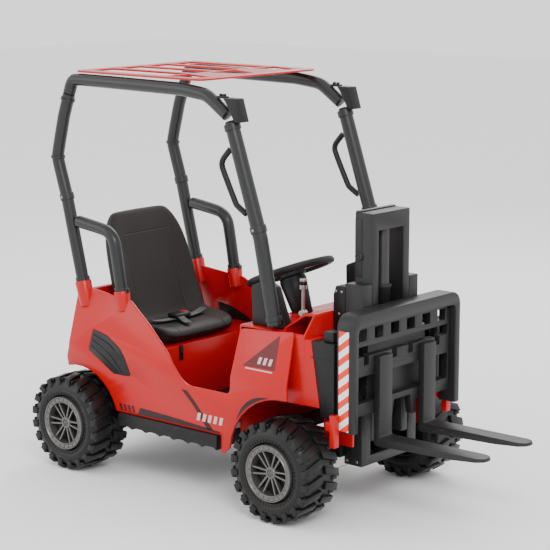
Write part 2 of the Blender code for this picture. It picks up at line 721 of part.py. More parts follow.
# Front axle: a beam with a yoke at each end that holds the kingpin
BEAM_HIGH = DECK_LOW - 0.0010
YOKE = 0.0070
YOKE_REACH = 0.0290
YOKE_HALF = 0.0130
YOKE_OUT = KINGPIN_HALF_TRACK + 0.0120
YOKE_IN = KINGPIN_HALF_TRACK - 0.0300
PIN = 0.0045
half_beam = [
    (YOKE_OUT, -YOKE_REACH - YOKE), (YOKE_OUT, -YOKE_REACH), (YOKE_IN, -YOKE_REACH), (YOKE_IN, YOKE_REACH),
    (YOKE_OUT, YOKE_REACH), (YOKE_OUT, YOKE_REACH + YOKE), (YOKE_IN - 0.008, YOKE_REACH + YOKE),
    (YOKE_IN - 0.008, BEAM_HIGH),
]
beam_outline = half_beam + [(-y, z) for y, z in half_beam[::-1]]
beam = front_plate("front_axle_beam", [beam_outline], -YOKE_HALF, YOKE_HALF, steel, front)

# Steering knuckles: a barrel on the kingpin, a stub axle outwards and an arm backwards
BARREL = 0.0100
HUB_END = 0.0330
ARM_INSET = 0.0060
ARM_LINE = KINGPIN_HALF_TRACK - ARM_INSET
for tag, side in SIDES:
    kingpin = empty(f"kingpin_{tag}", (0, side * KINGPIN_HALF_TRACK, 0), front)
    reach = YOKE_REACH - RUN_CLEARANCE
    knuckle = rod(f"knuckle_{tag}", BARREL, -reach, reach, steel, kingpin, 14)
    pin = rod(f"pin_{tag}", PIN, -reach - 0.006, reach + 0.006, steel, kingpin, 10)
    stub = rod(f"stub_{tag}", AXLE_ROD, 0.0, HALF_TRACK + HUB_END - KINGPIN_HALF_TRACK, steel, kingpin, 12)
    stub.rotation_euler = (-side * math.pi / 2, 0, 0)
    low_y, high_y = sorted((-side * (ARM_INSET + 0.006), -side * (ARM_INSET - 0.006)))
    arm = box(f"arm_{tag}", (-STEER_ARM - 0.010, low_y, 0.0130), (-0.002, high_y, 0.0180), steel, kingpin)
    join(knuckle, pin, stub, arm)
    low_y, high_y = sorted((-side * (ARM_INSET + 0.0036), -side * (ARM_INSET - 0.0036)))
    slot = box(
        f"arm_slot_{tag}", (-STEER_ARM - 0.0064, low_y, 0.010), (-STEER_ARM + 0.0036, high_y, 0.022),
        steel, kingpin
    )
    cut(knuckle, slot)
    bore = rod(f"yoke_bore_{tag}", PIN + 0.0006, -0.060, 0.060, steel, kingpin, 12)
    cut(beam, bore)

# Tie rod: a bar behind the axle with its ends bent up through the arms
tie_axis = empty("tie_rod_axis", (-STEER_ARM, 0, 0), front)
TIE = 0.0025
tie_path = [
    (0, -ARM_LINE, 0.0225), (0, -ARM_LINE, 0.0040, 0.004), (0, ARM_LINE, 0.0040, 0.004),
    (0, ARM_LINE, 0.0225),
]
tie_path = rounded(tie_path, closed=False)
tube("tie_rod", tie_path, TIE, steel, tie_axis, rings=2)

# Rear axle and the two geared motors that hang under the deck and carry it
AXLE_END = HALF_TRACK + HUB_END
axle = rod("rear_axle", AXLE_ROD, -AXLE_END, AXLE_END, steel, rear, 12)
axle.rotation_euler = (math.pi / 2, 0, 0)
for tag, side in SIDES:
    outer = DECK_REAR_HALF - 0.0065
    edges = sorted((side * (outer - 0.036), side * outer))
    case = [(-0.034, -0.028), (0.034, -0.028), (0.060, -0.006), (0.060, DECK_TOP - 0.0085),
        (-0.034, DECK_TOP - 0.0085)]
    motor = side_plate(f"gear_motor_{tag}", [case], *edges, dark, rear)
    can = rod(f"motor_can_{tag}", 0.0165, 0.0, 0.056, steel, rear, 14)
    can.location = (0.038, side * (outer - 0.034), 0.0155)
    can.rotation_euler = (side * math.pi / 2, 0, 0)
    join(motor, can)
    bore = rod(f"motor_bore_{tag}", AXLE_ROD + 0.0006, -0.2, 0.2, steel, rear, 16)
    bore.rotation_euler = (math.pi / 2, 0, 0)
    cut(motor, bore)

# Wheels: a silver rim with a sunk web, and a hard plastic tyre on it
HALF_TYRE = TYRE_WIDTH / 2
RIM_SHELL = RIM_RADIUS - 0.0006
HUB_BORE = AXLE_ROD + 0.0007
tyre_profile = [
    (RIM_RADIUS, 0.047), (0.0850, HALF_TYRE), (TYRE_RADIUS - 0.010, HALF_TYRE),
    (TYRE_RADIUS, HALF_TYRE - 0.012),
    (TYRE_RADIUS, 0.012 - HALF_TYRE), (TYRE_RADIUS - 0.010, -HALF_TYRE), (0.0850, -HALF_TYRE),
    (RIM_RADIUS, -0.047),
]
rim_profile = [
    (HUB_BORE, 0.033), (0.0200, 0.033), (0.0240, 0.026), (RIM_SHELL - 0.011, 0.028),
    (RIM_SHELL - 0.007, 0.055),
    (RIM_SHELL, 0.057), (RIM_SHELL, -0.046), (RIM_SHELL - 0.005, -0.046), (RIM_SHELL - 0.007, 0.018),
    (0.0150, 0.018), (0.0140, -0.030), (HUB_BORE, -0.030),
]
for end, station in (("front", 0.0), ("rear", -WHEELBASE)):
    for tag, side in SIDES:
        spin = empty(
            f"spin_{end}_{tag}", (station, side * HALF_TRACK, 0), front, (-side * math.pi / 2, 0, 0)
        )
        turned(f"tyre_{end}_{tag}", tyre_profile, tyre_black, spin)
        turned(f"rim_{end}_{tag}", rim_profile, rim_silver, spin)

# Mast: fixed outer channels joined by a foot
MAST_FRONT = MAST_BACK + MAST_DEPTH
INNER_GAP = 0.0015
CHANNEL_IN = INNER_HALF_WIDTH + INNER_GAP
FOOT_TOP = MAST_BOTTOM + 0.022
wall = CHANNEL_WALL
channel = [
    (MAST_BACK, CHANNEL_IN), (MAST_BACK + wall, CHANNEL_IN), (MAST_BACK + wall, MAST_HALF_WIDTH - wall),
    (MAST_FRONT - wall, MAST_HALF_WIDTH - wall), (MAST_FRONT - wall, CHANNEL_IN), (MAST_FRONT, CHANNEL_IN),
    (MAST_FRONT, MAST_HALF_WIDTH), (MAST_BACK, MAST_HALF_WIDTH),
]
mast = box(
    "mast_outer", (MAST_BACK, -MAST_HALF_WIDTH, MAST_BOTTOM), (MAST_FRONT, MAST_HALF_WIDTH, FOOT_TOP),
    dark, front
)
for tag, side in SIDES:
    outline = [(x, side * y) for x, y in channel][::side]
    post = plan_plate(f"channel_{tag}", [outline], FOOT_TOP - 0.002, MAST_TOP, dark, front)
    low_y, high_y = sorted((side * (CHANNEL_IN), side * MAST_HALF_WIDTH))
    cap = box(f"cap_{tag}", (MAST_BACK, low_y, MAST_TOP - 0.001),
        (MAST_FRONT, high_y, MAST_TOP + 0.004), dark, front)
    join(mast, post, cap)

# Mast mount: the bracket that ties the channels to the nose
mount_outline = [
    (0.0262, DASH_TOP + 0.0010), (0.0468, DASH_TOP - 0.0070), (MAST_BACK - GAP, DASH_TOP - 0.0070),
    (MAST_BACK - GAP, MAST_TOP - 0.004), (0.0330, MAST_TOP - 0.004), (0.0262, MAST_TOP - 0.024),
]
side_plate("mast_mount", [mount_outline], -MAST_HALF_WIDTH, MAST_HALF_WIDTH, black, front)

# Inner mast: a portal that slides between the channels, with guide pads running inside them
lift = empty("mast_lift_axis", (0, 0, 0), front)
INNER_LOW = 0.0450
INNER_POST = 0.022
WINDOW_TOP = INNER_TOP - 0.0390
portal = [
    (INNER_HALF_WIDTH, INNER_LOW), (INNER_HALF_WIDTH, INNER_TOP), (-INNER_HALF_WIDTH, INNER_TOP),
    (-INNER_HALF_WIDTH, INNER_LOW), (INNER_POST - INNER_HALF_WIDTH, INNER_LOW),
    (INNER_POST - INNER_HALF_WIDTH, WINDOW_TOP), (INNER_HALF_WIDTH - INNER_POST, WINDOW_TOP),
    (INNER_HALF_WIDTH - INNER_POST, INNER_LOW),
]
inner = front_plate("mast_inner", [portal], MAST_BACK, MAST_FRONT, dark, lift)
PAD_CLEAR = 0.0010
for tag, side in SIDES:
    low_y, high_y = sorted((side * (INNER_HALF_WIDTH - 0.003), side * (MAST_HALF_WIDTH - wall - PAD_CLEAR)))
    pad_low = (MAST_BACK + wall + PAD_CLEAR, low_y, INNER_LOW + 0.005)
    pad_high = (MAST_FRONT - wall - PAD_CLEAR, high_y, INNER_LOW + 0.060)
    join(inner, box(f"pad_{tag}", pad_low, pad_high, dark, lift))

# Lift cylinder: a barrel on the mast's foot, and the rod that pushes the portal up
CYLINDER_X = MAST_BACK + 0.025
ROD = 0.0160
BARREL_TOP = 0.3900
barrel_axis = empty("cylinder_axis", (CYLINDER_X, 0, 0), front)
barrel_profile = [
    (ROD + 0.0008, BARREL_TOP), (0.0210, BARREL_TOP), (0.0210, BARREL_TOP - 0.008),
    (0.0190, BARREL_TOP - 0.010),
    (0.0190, FOOT_TOP + GAP), (ROD + 0.0008, FOOT_TOP + GAP),
]
turned("lift_cylinder", barrel_profile, dark, barrel_axis, 20)
rod_axis = empty("rod_axis", (CYLINDER_X, 0, 0), lift)
rod("lift_rod", ROD, 0.1500, WINDOW_TOP - GAP, steel, rod_axis, 16)

# Carriage: a guard portal with slotted plates across it
carriage = empty("carriage_axis", (0, 0, 0), lift)
CARRIAGE_BACK = CARRIAGE_FRONT - CARRIAGE_DEPTH
GUARD_BAR = 0.030
outer = rounded([
    (CARRIAGE_HALF_WIDTH, CARRIAGE_BOTTOM), (CARRIAGE_HALF_WIDTH, CARRIAGE_TOP, 0.030),
    (-CARRIAGE_HALF_WIDTH, CARRIAGE_TOP, 0.030), (-CARRIAGE_HALF_WIDTH, CARRIAGE_BOTTOM),
], 4)
GUARD_IN = CARRIAGE_HALF_WIDTH - GUARD_POST
GUARD_UNDER = CARRIAGE_TOP - GUARD_BAR
inner_edge = rounded([
    (-GUARD_IN, CARRIAGE_BOTTOM), (-GUARD_IN, GUARD_UNDER, 0.012), (GUARD_IN, GUARD_UNDER, 0.012),
    (GUARD_IN, CARRIAGE_BOTTOM),
])
front_plate("carriage_guard", [outer + inner_edge], CARRIAGE_BACK, CARRIAGE_FRONT, dark, carriage)

# Carriage grid: upper plate with windows, notched middle plate, lower plate with a bridge
GRID_BACK = CARRIAGE_BACK + 0.012
GRID_FRONT = 0.1445
GRID_HALF = GUARD_IN - GAP
UPPER_LOW = 0.2785
UPPER_TOP = GUARD_UNDER - GAP
WINDOW_PITCH = 0.0580
WINDOW_HALF = 0.0150
MIDDLE_LOW = 0.2120
MIDDLE_TOP = 0.2560
LOWER_LOW = 0.1250
LOWER_TOP = 0.1530
STRAP = 0.0070
BRIDGE = 0.0520
grid_outline = [
    (-GRID_HALF, LOWER_LOW), (-BRIDGE, LOWER_LOW), (-BRIDGE, CARRIAGE_BOTTOM),
    (-BRIDGE + 0.014, CARRIAGE_BOTTOM),
    (-BRIDGE + 0.022, 0.1400), (BRIDGE - 0.022, 0.1400), (BRIDGE - 0.014, CARRIAGE_BOTTOM),
    (BRIDGE, CARRIAGE_BOTTOM), (BRIDGE, LOWER_LOW), (GRID_HALF, LOWER_LOW),
    (GRID_HALF, UPPER_TOP - 0.0130), (GRID_HALF - 0.0130, UPPER_TOP), (0.0130 - GRID_HALF, UPPER_TOP),
    (-GRID_HALF, UPPER_TOP - 0.0130),
]
windows = [rectangle(STRAP - GRID_HALF, LOWER_TOP, GRID_HALF - STRAP, MIDDLE_LOW)]
notches = [(GRID_HALF - STRAP, UPPER_LOW), (STRAP - GRID_HALF, UPPER_LOW), (STRAP - GRID_HALF, MIDDLE_TOP)]
for middle in (-0.130, -0.030, 0.030, 0.130):
    notches += [(middle - 0.009, MIDDLE_TOP), (middle - 0.009, MIDDLE_TOP - 0.020)]
    notches += [(middle + 0.009, MIDDLE_TOP - 0.020), (middle + 0.009, MIDDLE_TOP)]
windows.append(notches + [(GRID_HALF - STRAP, MIDDLE_TOP)])
grid = front_plate("carriage_grid", [grid_outline] + windows, GRID_BACK, GRID_FRONT, dark, carriage)
for index in range(-3, 3):
    middle = (index + 0.5) * WINDOW_PITCH
    low = (GRID_BACK - 0.001, middle - WINDOW_HALF, UPPER_LOW + 0.012)
    cut(grid, box(f"window_{index + 3}", low, (GRID_FRONT + 0.001, middle + WINDOW_HALF,
        UPPER_TOP - 0.008), dark, carriage))
backing = box(
    "grid_back", (CARRIAGE_BACK, -0.1050, 0.1425), (GRID_BACK + 0.002, 0.1050, 0.2830), black, carriage
)
join(grid, backing)

# Forks: an upright on the plates and a tapering blade
BLADE_TOP = 0.0705
HEEL_LOW = 0.0505
FORK_TOP = 0.2525
FORK_BACK = GRID_FRONT + GAP
fork_outline = rounded([
    (FORK_BACK, HEEL_LOW, 0.008), (FORK_REACH - 0.080, HEEL_LOW + 0.006), (FORK_REACH, BLADE_TOP - 0.007),
    (FORK_REACH, BLADE_TOP, 0.003), (FORK_BACK + 0.0160, BLADE_TOP, 0.006), (FORK_BACK + 0.0160, FORK_TOP),
    (FORK_BACK, FORK_TOP),
])
for tag, side in SIDES:
    middle = side * FORK_SPREAD
    side_plate(
        f"fork_{tag}", [fork_outline], middle - FORK_WIDTH / 2, middle + FORK_WIDTH / 2, dark, carriage
    )

# Battery under the seat
box(
    "battery", (0.045, -0.075, DECK_TOP + GAP), (0.120, 0.075, DECK_TOP + 0.0950), pack_blue, rear,
    bevel=0.003
)

# Lift lever beside the column, and the throttle pedal on the floor
lever_axis = empty("lift_lever_axis", (-0.1050, -0.0450, DASH_TOP + 0.0085), front)
lever = rod("lift_lever", 0.0045, 0.0, 0.0660, steel, lever_axis, 8)
knob = rod("lever_knob", 0.0095, 0.0560, 0.0800, black, lever_axis, 10)
pivot = rod("lever_pivot", 0.0075, -0.009, 0.009, black, lever_axis, 10)
pivot.rotation_euler = (math.pi / 2, 0, 0)
join(lever, knob, pivot)
PEDAL_SLOPE = math.radians(20)
pedal_axis = empty("pedal_axis", (-0.2450, -0.0850, DECK_TOP + 0.0080), front, (0, -PEDAL_SLOPE, 0))
box("throttle_pedal", (-0.0040, -0.0300, -0.0035), (0.0720, 0.0300, 0.0035), black, pedal_axis)
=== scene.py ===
import math
import json

import bmesh
import bpy
from mathutils import Matrix, Vector


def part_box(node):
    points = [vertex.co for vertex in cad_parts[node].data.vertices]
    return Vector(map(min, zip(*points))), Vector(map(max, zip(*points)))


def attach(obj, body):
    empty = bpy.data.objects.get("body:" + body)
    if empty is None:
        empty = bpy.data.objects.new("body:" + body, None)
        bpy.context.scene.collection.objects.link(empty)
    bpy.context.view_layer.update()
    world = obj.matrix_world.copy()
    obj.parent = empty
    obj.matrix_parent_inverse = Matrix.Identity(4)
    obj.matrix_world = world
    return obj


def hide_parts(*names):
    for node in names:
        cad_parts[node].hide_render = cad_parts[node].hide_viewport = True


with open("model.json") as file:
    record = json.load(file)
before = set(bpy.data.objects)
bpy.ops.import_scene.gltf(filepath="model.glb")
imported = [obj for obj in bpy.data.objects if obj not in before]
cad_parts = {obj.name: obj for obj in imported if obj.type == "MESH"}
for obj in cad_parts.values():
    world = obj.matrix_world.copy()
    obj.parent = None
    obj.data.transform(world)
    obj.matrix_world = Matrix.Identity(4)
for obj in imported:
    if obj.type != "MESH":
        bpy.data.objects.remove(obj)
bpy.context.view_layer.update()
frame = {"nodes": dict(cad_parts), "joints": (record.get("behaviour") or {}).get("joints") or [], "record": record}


# ---- Red body shells ----
# Blow-moulded and injection-moulded red shells: side panels, seat box, rear cover, dashboard, nose,
# bumper and roof guard. Glossy through-coloured plastic, screwed to the chassis, with soft edges.

SHELL_EDGE = 0.0016
SHELL_RED = (0.46, 0.0008, 0.0028, 1)
CREASE = math.radians(32)
FLAT = math.radians(0.5)
WELD = 0.000002


def new_group(name, inputs, outputs):
    """A shader node group with named sockets, and its input and output nodes."""
    group = bpy.data.node_groups.new(name, "ShaderNodeTree")
    for label, kind, value in inputs:
        socket = group.interface.new_socket(label, in_out="INPUT", socket_type=kind)
        socket.default_value = value
    for label, kind in outputs:
        group.interface.new_socket(label, in_out="OUTPUT", socket_type=kind)
    return group, group.nodes.new("NodeGroupInput"), group.nodes.new("NodeGroupOutput")


def add(tree, kind, **settings):
    """A node with its settings and the plain values of its inputs."""
    node = tree.nodes.new(kind)
    for name, value in settings.items():
        if name == "values":
            for label, number in value.items():
                node.inputs[label].default_value = number
        else:
            setattr(node, name, value)
    return node


def scuff_group():
    """Rubbed patches and fine handling marks, which lighten a plastic and dull its gloss."""
    group, source, result = new_group(
        "handling_scuffs",
        [
            ("Color", "NodeSocketColor", (0.5, 0.5, 0.5, 1)),
            ("Roughness", "NodeSocketFloat", 0.4),
            ("Scuffs", "NodeSocketFloat", 0.2),
            ("Tone Change", "NodeSocketFloat", 0.05),
            ("Mark Scale", "NodeSocketFloat", 40.0),
        ],
        [("Color", "NodeSocketColor"), ("Roughness", "NodeSocketFloat")],
    )
    place = add(group, "ShaderNodeTexCoord")
    patches = add(group, "ShaderNodeTexNoise", values={"Scale": 6.0, "Detail": 4.0, "Roughness": 0.55})
    stretch = add(group, "ShaderNodeMapping")
    stretch.inputs["Rotation"].default_value = (0.5, 0.2, 0.7)
    stretch.inputs["Scale"].default_value = (1.0, 9.0, 5.0)
    marks = add(group, "ShaderNodeTexNoise", values={"Detail": 6.0, "Roughness": 0.7})
    thin = add(group, "ShaderNodeMapRange", values={"From Min": 0.58, "From Max": 0.78})
    spread = add(group, "ShaderNodeMapRange", values={"From Min": 0.4, "From Max": 0.7})
    both = add(group, "ShaderNodeMath", operation="MULTIPLY")
    amount = add(group, "ShaderNodeMath", operation="MULTIPLY")
    rough = add(group, "ShaderNodeMath", operation="MULTIPLY_ADD", use_clamp=True)
    rough.inputs[1].default_value = 0.45
    tone = add(group, "ShaderNodeMapRange")
    darker = add(group, "ShaderNodeMath", operation="SUBTRACT")
    darker.inputs[0].default_value = 1.0
    shade = add(group, "ShaderNodeMix", data_type="RGBA", blend_type="MULTIPLY")
    shade.inputs["Factor"].default_value = 1.0
    pale = add(group, "ShaderNodeMix", data_type="RGBA")
    pale.inputs["B"].default_value = (0.55, 0.53, 0.5, 1)
    faint = add(group, "ShaderNodeMath", operation="MULTIPLY")
    faint.inputs[1].default_value = 0.22
    link = group.links.new
    link(place.outputs["Object"], patches.inputs["Vector"])
    link(place.outputs["Object"], stretch.inputs["Vector"])
    link(stretch.outputs["Vector"], marks.inputs["Vector"])
    link(source.outputs["Mark Scale"], marks.inputs["Scale"])
    link(marks.outputs["Fac"], thin.inputs["Value"])
    link(patches.outputs["Fac"], spread.inputs["Value"])
    link(thin.outputs["Result"], both.inputs[0])
    link(spread.outputs["Result"], both.inputs[1])
    link(both.outputs[0], amount.inputs[0])
    link(source.outputs["Scuffs"], amount.inputs[1])
    link(amount.outputs[0], rough.inputs[0])
    link(source.outputs["Roughness"], rough.inputs[2])
    link(source.outputs["Tone Change"], darker.inputs[1])
    link(patches.outputs["Fac"], tone.inputs["Value"])
    link(darker.outputs[0], tone.inputs["To Min"])
    link(source.outputs["Color"], shade.inputs["A"])
    link(tone.outputs["Result"], shade.inputs["B"])
    link(amount.outputs[0], faint.inputs[0])
    link(faint.outputs[0], pale.inputs["Factor"])
    link(shade.outputs["Result"], pale.inputs["A"])
    link(pale.outputs["Result"], result.inputs["Color"])
    link(rough.outputs[0], result.inputs["Roughness"])
    return group


def grain_group():
    """The fine pebbled texture of a mould, with a slow waviness under it, as a height."""
    group, source, result = new_group(
        "moulded_grain",
        [
            ("Pebble Scale", "NodeSocketFloat", 900.0),
            ("Pebbles", "NodeSocketFloat", 0.5),
            ("Waves", "NodeSocketFloat", 0.2),
        ],
        [("Height", "NodeSocketFloat")],
    )
    place = add(group, "ShaderNodeTexCoord")
    pebbles = add(group, "ShaderNodeTexVoronoi", feature="SMOOTH_F1")
    waves = add(group, "ShaderNodeTexNoise", values={"Scale": 14.0, "Detail": 2.0})
    fine = add(group, "ShaderNodeMath", operation="MULTIPLY")
    slow = add(group, "ShaderNodeMath", operation="MULTIPLY_ADD")
    link = group.links.new
    link(place.outputs["Object"], pebbles.inputs["Vector"])
    link(place.outputs["Object"], waves.inputs["Vector"])
    link(source.outputs["Pebble Scale"], pebbles.inputs["Scale"])
    link(pebbles.outputs["Distance"], fine.inputs[0])
    link(source.outputs["Pebbles"], fine.inputs[1])
    link(waves.outputs["Fac"], slow.inputs[0])
    link(source.outputs["Waves"], slow.inputs[1])
    link(fine.outputs[0], slow.inputs[2])
    link(slow.outputs[0], result.inputs["Height"])
    return group


handling_scuffs = scuff_group()
moulded_grain = grain_group()


def finish_of(name, color, roughness, scuffs, pebbles, bump, metallic=0.0, coat=0.0, scale=900.0, waves=0.2):
    """A moulded or metal finish: its own colour and gloss, with scuffs and grain over it."""
    material = bpy.data.materials.new(name)
    material.use_nodes = True
    tree = material.node_tree
    shader = tree.nodes["Principled BSDF"]
    shader.inputs["Metallic"].default_value = metallic
    shader.inputs["Coat Weight"].default_value = coat
    shader.inputs["Specular IOR Level"].default_value = 0.5 if metallic else 0.32
    shader.inputs["Coat Roughness"].default_value = 0.12
    wear = add(tree, "ShaderNodeGroup", node_tree=handling_scuffs)
    wear.inputs["Color"].default_value = color
    wear.inputs["Roughness"].default_value = roughness
    wear.inputs["Scuffs"].default_value = scuffs
    grain = add(tree, "ShaderNodeGroup", node_tree=moulded_grain)
    grain.inputs["Pebble Scale"].default_value = scale
    grain.inputs["Pebbles"].default_value = pebbles
    grain.inputs["Waves"].default_value = waves
    relief = add(tree, "ShaderNodeBump", values={"Strength": bump, "Distance": 0.0006})
    tree.links.new(wear.outputs["Color"], shader.inputs["Base Color"])
    tree.links.new(wear.outputs["Roughness"], shader.inputs["Roughness"])
    tree.links.new(grain.outputs["Height"], relief.inputs["Height"])
    tree.links.new(relief.outputs["Normal"], shader.inputs["Normal"])
    return material


def make_piece(name, shape, material, body, angle=CREASE):
    """A finished piece from a bmesh, shaded smooth, that moves with a body."""
    mesh = bpy.data.meshes.new(name)
    shape.to_mesh(mesh)
    shape.free()
    mesh.shade_smooth()
    mesh.set_sharp_from_angle(angle=angle)
    mesh.materials.append(material)
    piece = bpy.data.objects.new(name, mesh)
    bpy.context.scene.collection.objects.link(piece)
    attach(piece, body)
    return piece


def body_of(node):
    """The body that a CAD node belongs to."""
    return next(b for b, nodes in frame["record"]["behaviour"]["bodies"].items() if node in nodes)


def cad_shape(node):
    """A bmesh of the node's own shape with its flat faces merged."""
    shape = bmesh.new()
    shape.from_mesh(frame["nodes"][node].data)
    bmesh.ops.remove_doubles(shape, verts=shape.verts, dist=WELD)
    bmesh.ops.dissolve_limit(shape, angle_limit=FLAT, verts=shape.verts, edges=shape.edges)
    return shape


def round_edges(shape, edges, radius):
    """Rounds the given edges of a shape in two steps."""
    return bmesh.ops.bevel(
        shape,
        geom=edges,
        offset=radius,
        affect="EDGES",
        segments=2,
        profile=0.5,
        material=-1,
        clamp_overlap=True,
    )


def soft_edged(node, material, edge, angle=CREASE):
    """A piece in place of the node, with its sharp edges rounded."""
    shape = cad_shape(node)
    sharp = [e for e in shape.edges if e.is_manifold and e.calc_face_angle(0) > angle]
    round_edges(shape, sharp, edge)
    piece = make_piece(node + "_skin", shape, material, body_of(node), angle)
    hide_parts(node)
    return piece


red_shell = finish_of("glossy_red_plastic", SHELL_RED, 0.3, 0.35, 0.05, 0.12, coat=0.05, scale=700, waves=0.5)
for node in ("side_panel_L", "side_panel_R", "seat_box", "rear_cover", "dash_panel", "nose_body"):
    soft_edged(node, red_shell, SHELL_EDGE)
soft_edged("front_bumper", red_shell, 0.0022)
soft_edged("roof_panel", red_shell, 0.0008)


# ---- Tyres ----
# Hollow blow-moulded plastic tyres with a chunky off-road tread. Slanted lugs from both shoulders
# meet in a chevron at the middle, and wrap down the sidewalls over a ring of fine ribs at the rim.

TYRE_COLOR = (0.0050, 0.0050, 0.0052, 1)
LUGS = 20
LUG_TOP = 0.1150
LUG_DEPTH = 0.0085
CARCASS = 0.1072
BEAD = 0.0652
RIBS = 54


def wheel_frame(node):
    """The centre of a wheel and half its width, from the box of its tyre or rim."""
    low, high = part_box(node)
    return (low + high) / 2, (high.y - low.y) / 2


def spun(profile, steps, axis=(0, 1, 0), center=(0, 0, 0)):
    """A profile of (along, radius) points turned about an axis. It is closed unless it starts on the axis."""
    shape = bmesh.new()
    points = [shape.verts.new((radius, along, 0)) for along, radius in profile]
    onward = points[1:] + (points[:1] if profile[0][1] > 0 else [])
    edges = [shape.edges.new(pair) for pair in zip(points, onward)]
    bmesh.ops.spin(
        shape,
        geom=points + edges,
        cent=(0, 0, 0),
        axis=(0, 1, 0),
        angle=math.tau,
        steps=steps,
        use_merge=True,
    )
    bmesh.ops.remove_doubles(shape, verts=shape.verts, dist=0.00001)
    bmesh.ops.recalc_face_normals(shape, faces=shape.faces)
    turn = Vector((0, 1, 0)).rotation_difference(Vector(axis)).to_matrix().to_4x4()
    bmesh.ops.transform(shape, matrix=Matrix.Translation(center) @ turn, verts=shape.verts)
    return shape


def block(shape, center, size, edge, place=Matrix.Identity(4), lean=None):
    """A block with rounded edges, added to a shape. lean moves its corners before it is placed."""
    corners = bmesh.ops.create_cube(shape, size=1.0)["verts"]
    for corner in corners:
        corner.co = Vector(center) + Vector(a * b for a, b in zip(corner.co, size))
        if lean:
            corner.co += Vector(lean(corner.co))
    edges = list({e for v in corners for e in v.link_edges})
    if edge:
        made = round_edges(shape, edges, edge)
        corners = list({v for f in made["faces"] for v in f.verts})
    bmesh.ops.transform(shape, matrix=place, verts=corners)
    return corners


def lug_slant(corner):
    """A tread lug leans round the tyre towards its shoulder, and is lower there."""
    return ((abs(corner.y) - 0.03) * 0.30, 0, (abs(corner.y) > 0.04) * -0.0030)


def tyre_shape(wall):
    """One tyre about the origin, its outer side at +Y and its walls at half its width."""
    half = [
        (0.0, CARCASS + 0.0008),
        (wall - 0.019, CARCASS),
        (wall - 0.009, CARCASS - 0.0040),
        (wall - 0.0035, 0.0960),
        (wall - 0.0022, 0.0880),
        (wall - 0.0008, 0.0860),
        (wall - 0.0008, 0.0790),
        (wall - 0.0022, 0.0770),
        (wall - 0.0035, 0.0700),
        (wall - 0.0060, BEAD + 0.0012),
        (wall - 0.0085, BEAD),
    ]
    profile = half + [(-y, r) for y, r in reversed(half[1:])]
    shape = spun(profile, 96)
    pitch = math.tau / LUGS
    for side in (1, -1):
        for i in range(LUGS):
            turn = Matrix.Rotation((i + (0.25 if side > 0 else 0.75)) * pitch, 4, "Y")
            tread = (0, side * (wall * 0.52), LUG_TOP - LUG_DEPTH / 2)
            block(shape, tread, (0.0185, wall * 0.86, LUG_DEPTH), 0.0014, turn, lug_slant)
            shoulder = (0.0075, side * (wall - 0.0058), 0.1010)
            block(shape, shoulder, (0.0150, 0.0090, 0.0180), 0.0016, turn)
            half_turn = turn @ Matrix.Rotation(pitch / 2, 4, "Y")
            block(shape, (0, side * (wall - 0.014), 0.1062), (0.0085, 0.0170, 0.0060), 0.0010, half_turn)
        for i in range(RIBS):
            turn = Matrix.Rotation(i * math.tau / RIBS, 4, "Y")
            block(shape, (0, side * (wall - 0.0030), 0.0735), (0.0030, 0.0022, 0.0060), 0, turn)
    return shape


def wheel_piece(name, shape, node, material):
    """A wheel part shaped about the origin, moved to its wheel, with its outer side outwards."""
    center, _ = wheel_frame(node)
    if center.y < 0:
        bmesh.ops.transform(shape, matrix=Matrix.Scale(-1, 4, (0, 1, 0)), verts=shape.verts)
        bmesh.ops.reverse_faces(shape, faces=shape.faces)
    bmesh.ops.translate(shape, vec=center, verts=shape.verts)
    return make_piece(name, shape, material, body_of(node), math.radians(38))


WHEELS = ("front_L", "front_R", "rear_L", "rear_R")
tyre_plastic = finish_of("tread_plastic", TYRE_COLOR, 0.42, 0.5, 0.5, 0.2, scale=1300, waves=0.6)
for wheel in WHEELS:
    half_width = wheel_frame("tyre_" + wheel)[1]
    shape = tyre_shape(half_width)
    tyre = wheel_piece("tread_" + wheel, shape, "tyre_" + wheel, tyre_plastic)
    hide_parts("tyre_" + wheel)


# ---- Wheel rims ----
# Silver-painted plastic discs pressed into the tyres: a notched flange, six pairs of thin spokes
# standing before a black backing disc, and a small hub cap over the axle nut.

RIM_COLOR = (0.14, 0.135, 0.13, 1)
RIM_BACK_COLOR = (0.008, 0.008, 0.009, 1)
FLANGE_OUT = 0.0642
FLANGE_IN = 0.0500
SPOKE_PAIRS = 6
HUB_RADIUS = 0.0125
NOTCHES = 24


def merge_into(shape, extra):
    """Adds one bmesh to another and frees it."""
    carrier = bpy.data.meshes.new("carrier")
    extra.to_mesh(carrier)
    extra.free()
    shape.from_mesh(carrier)
    bpy.data.meshes.remove(carrier)


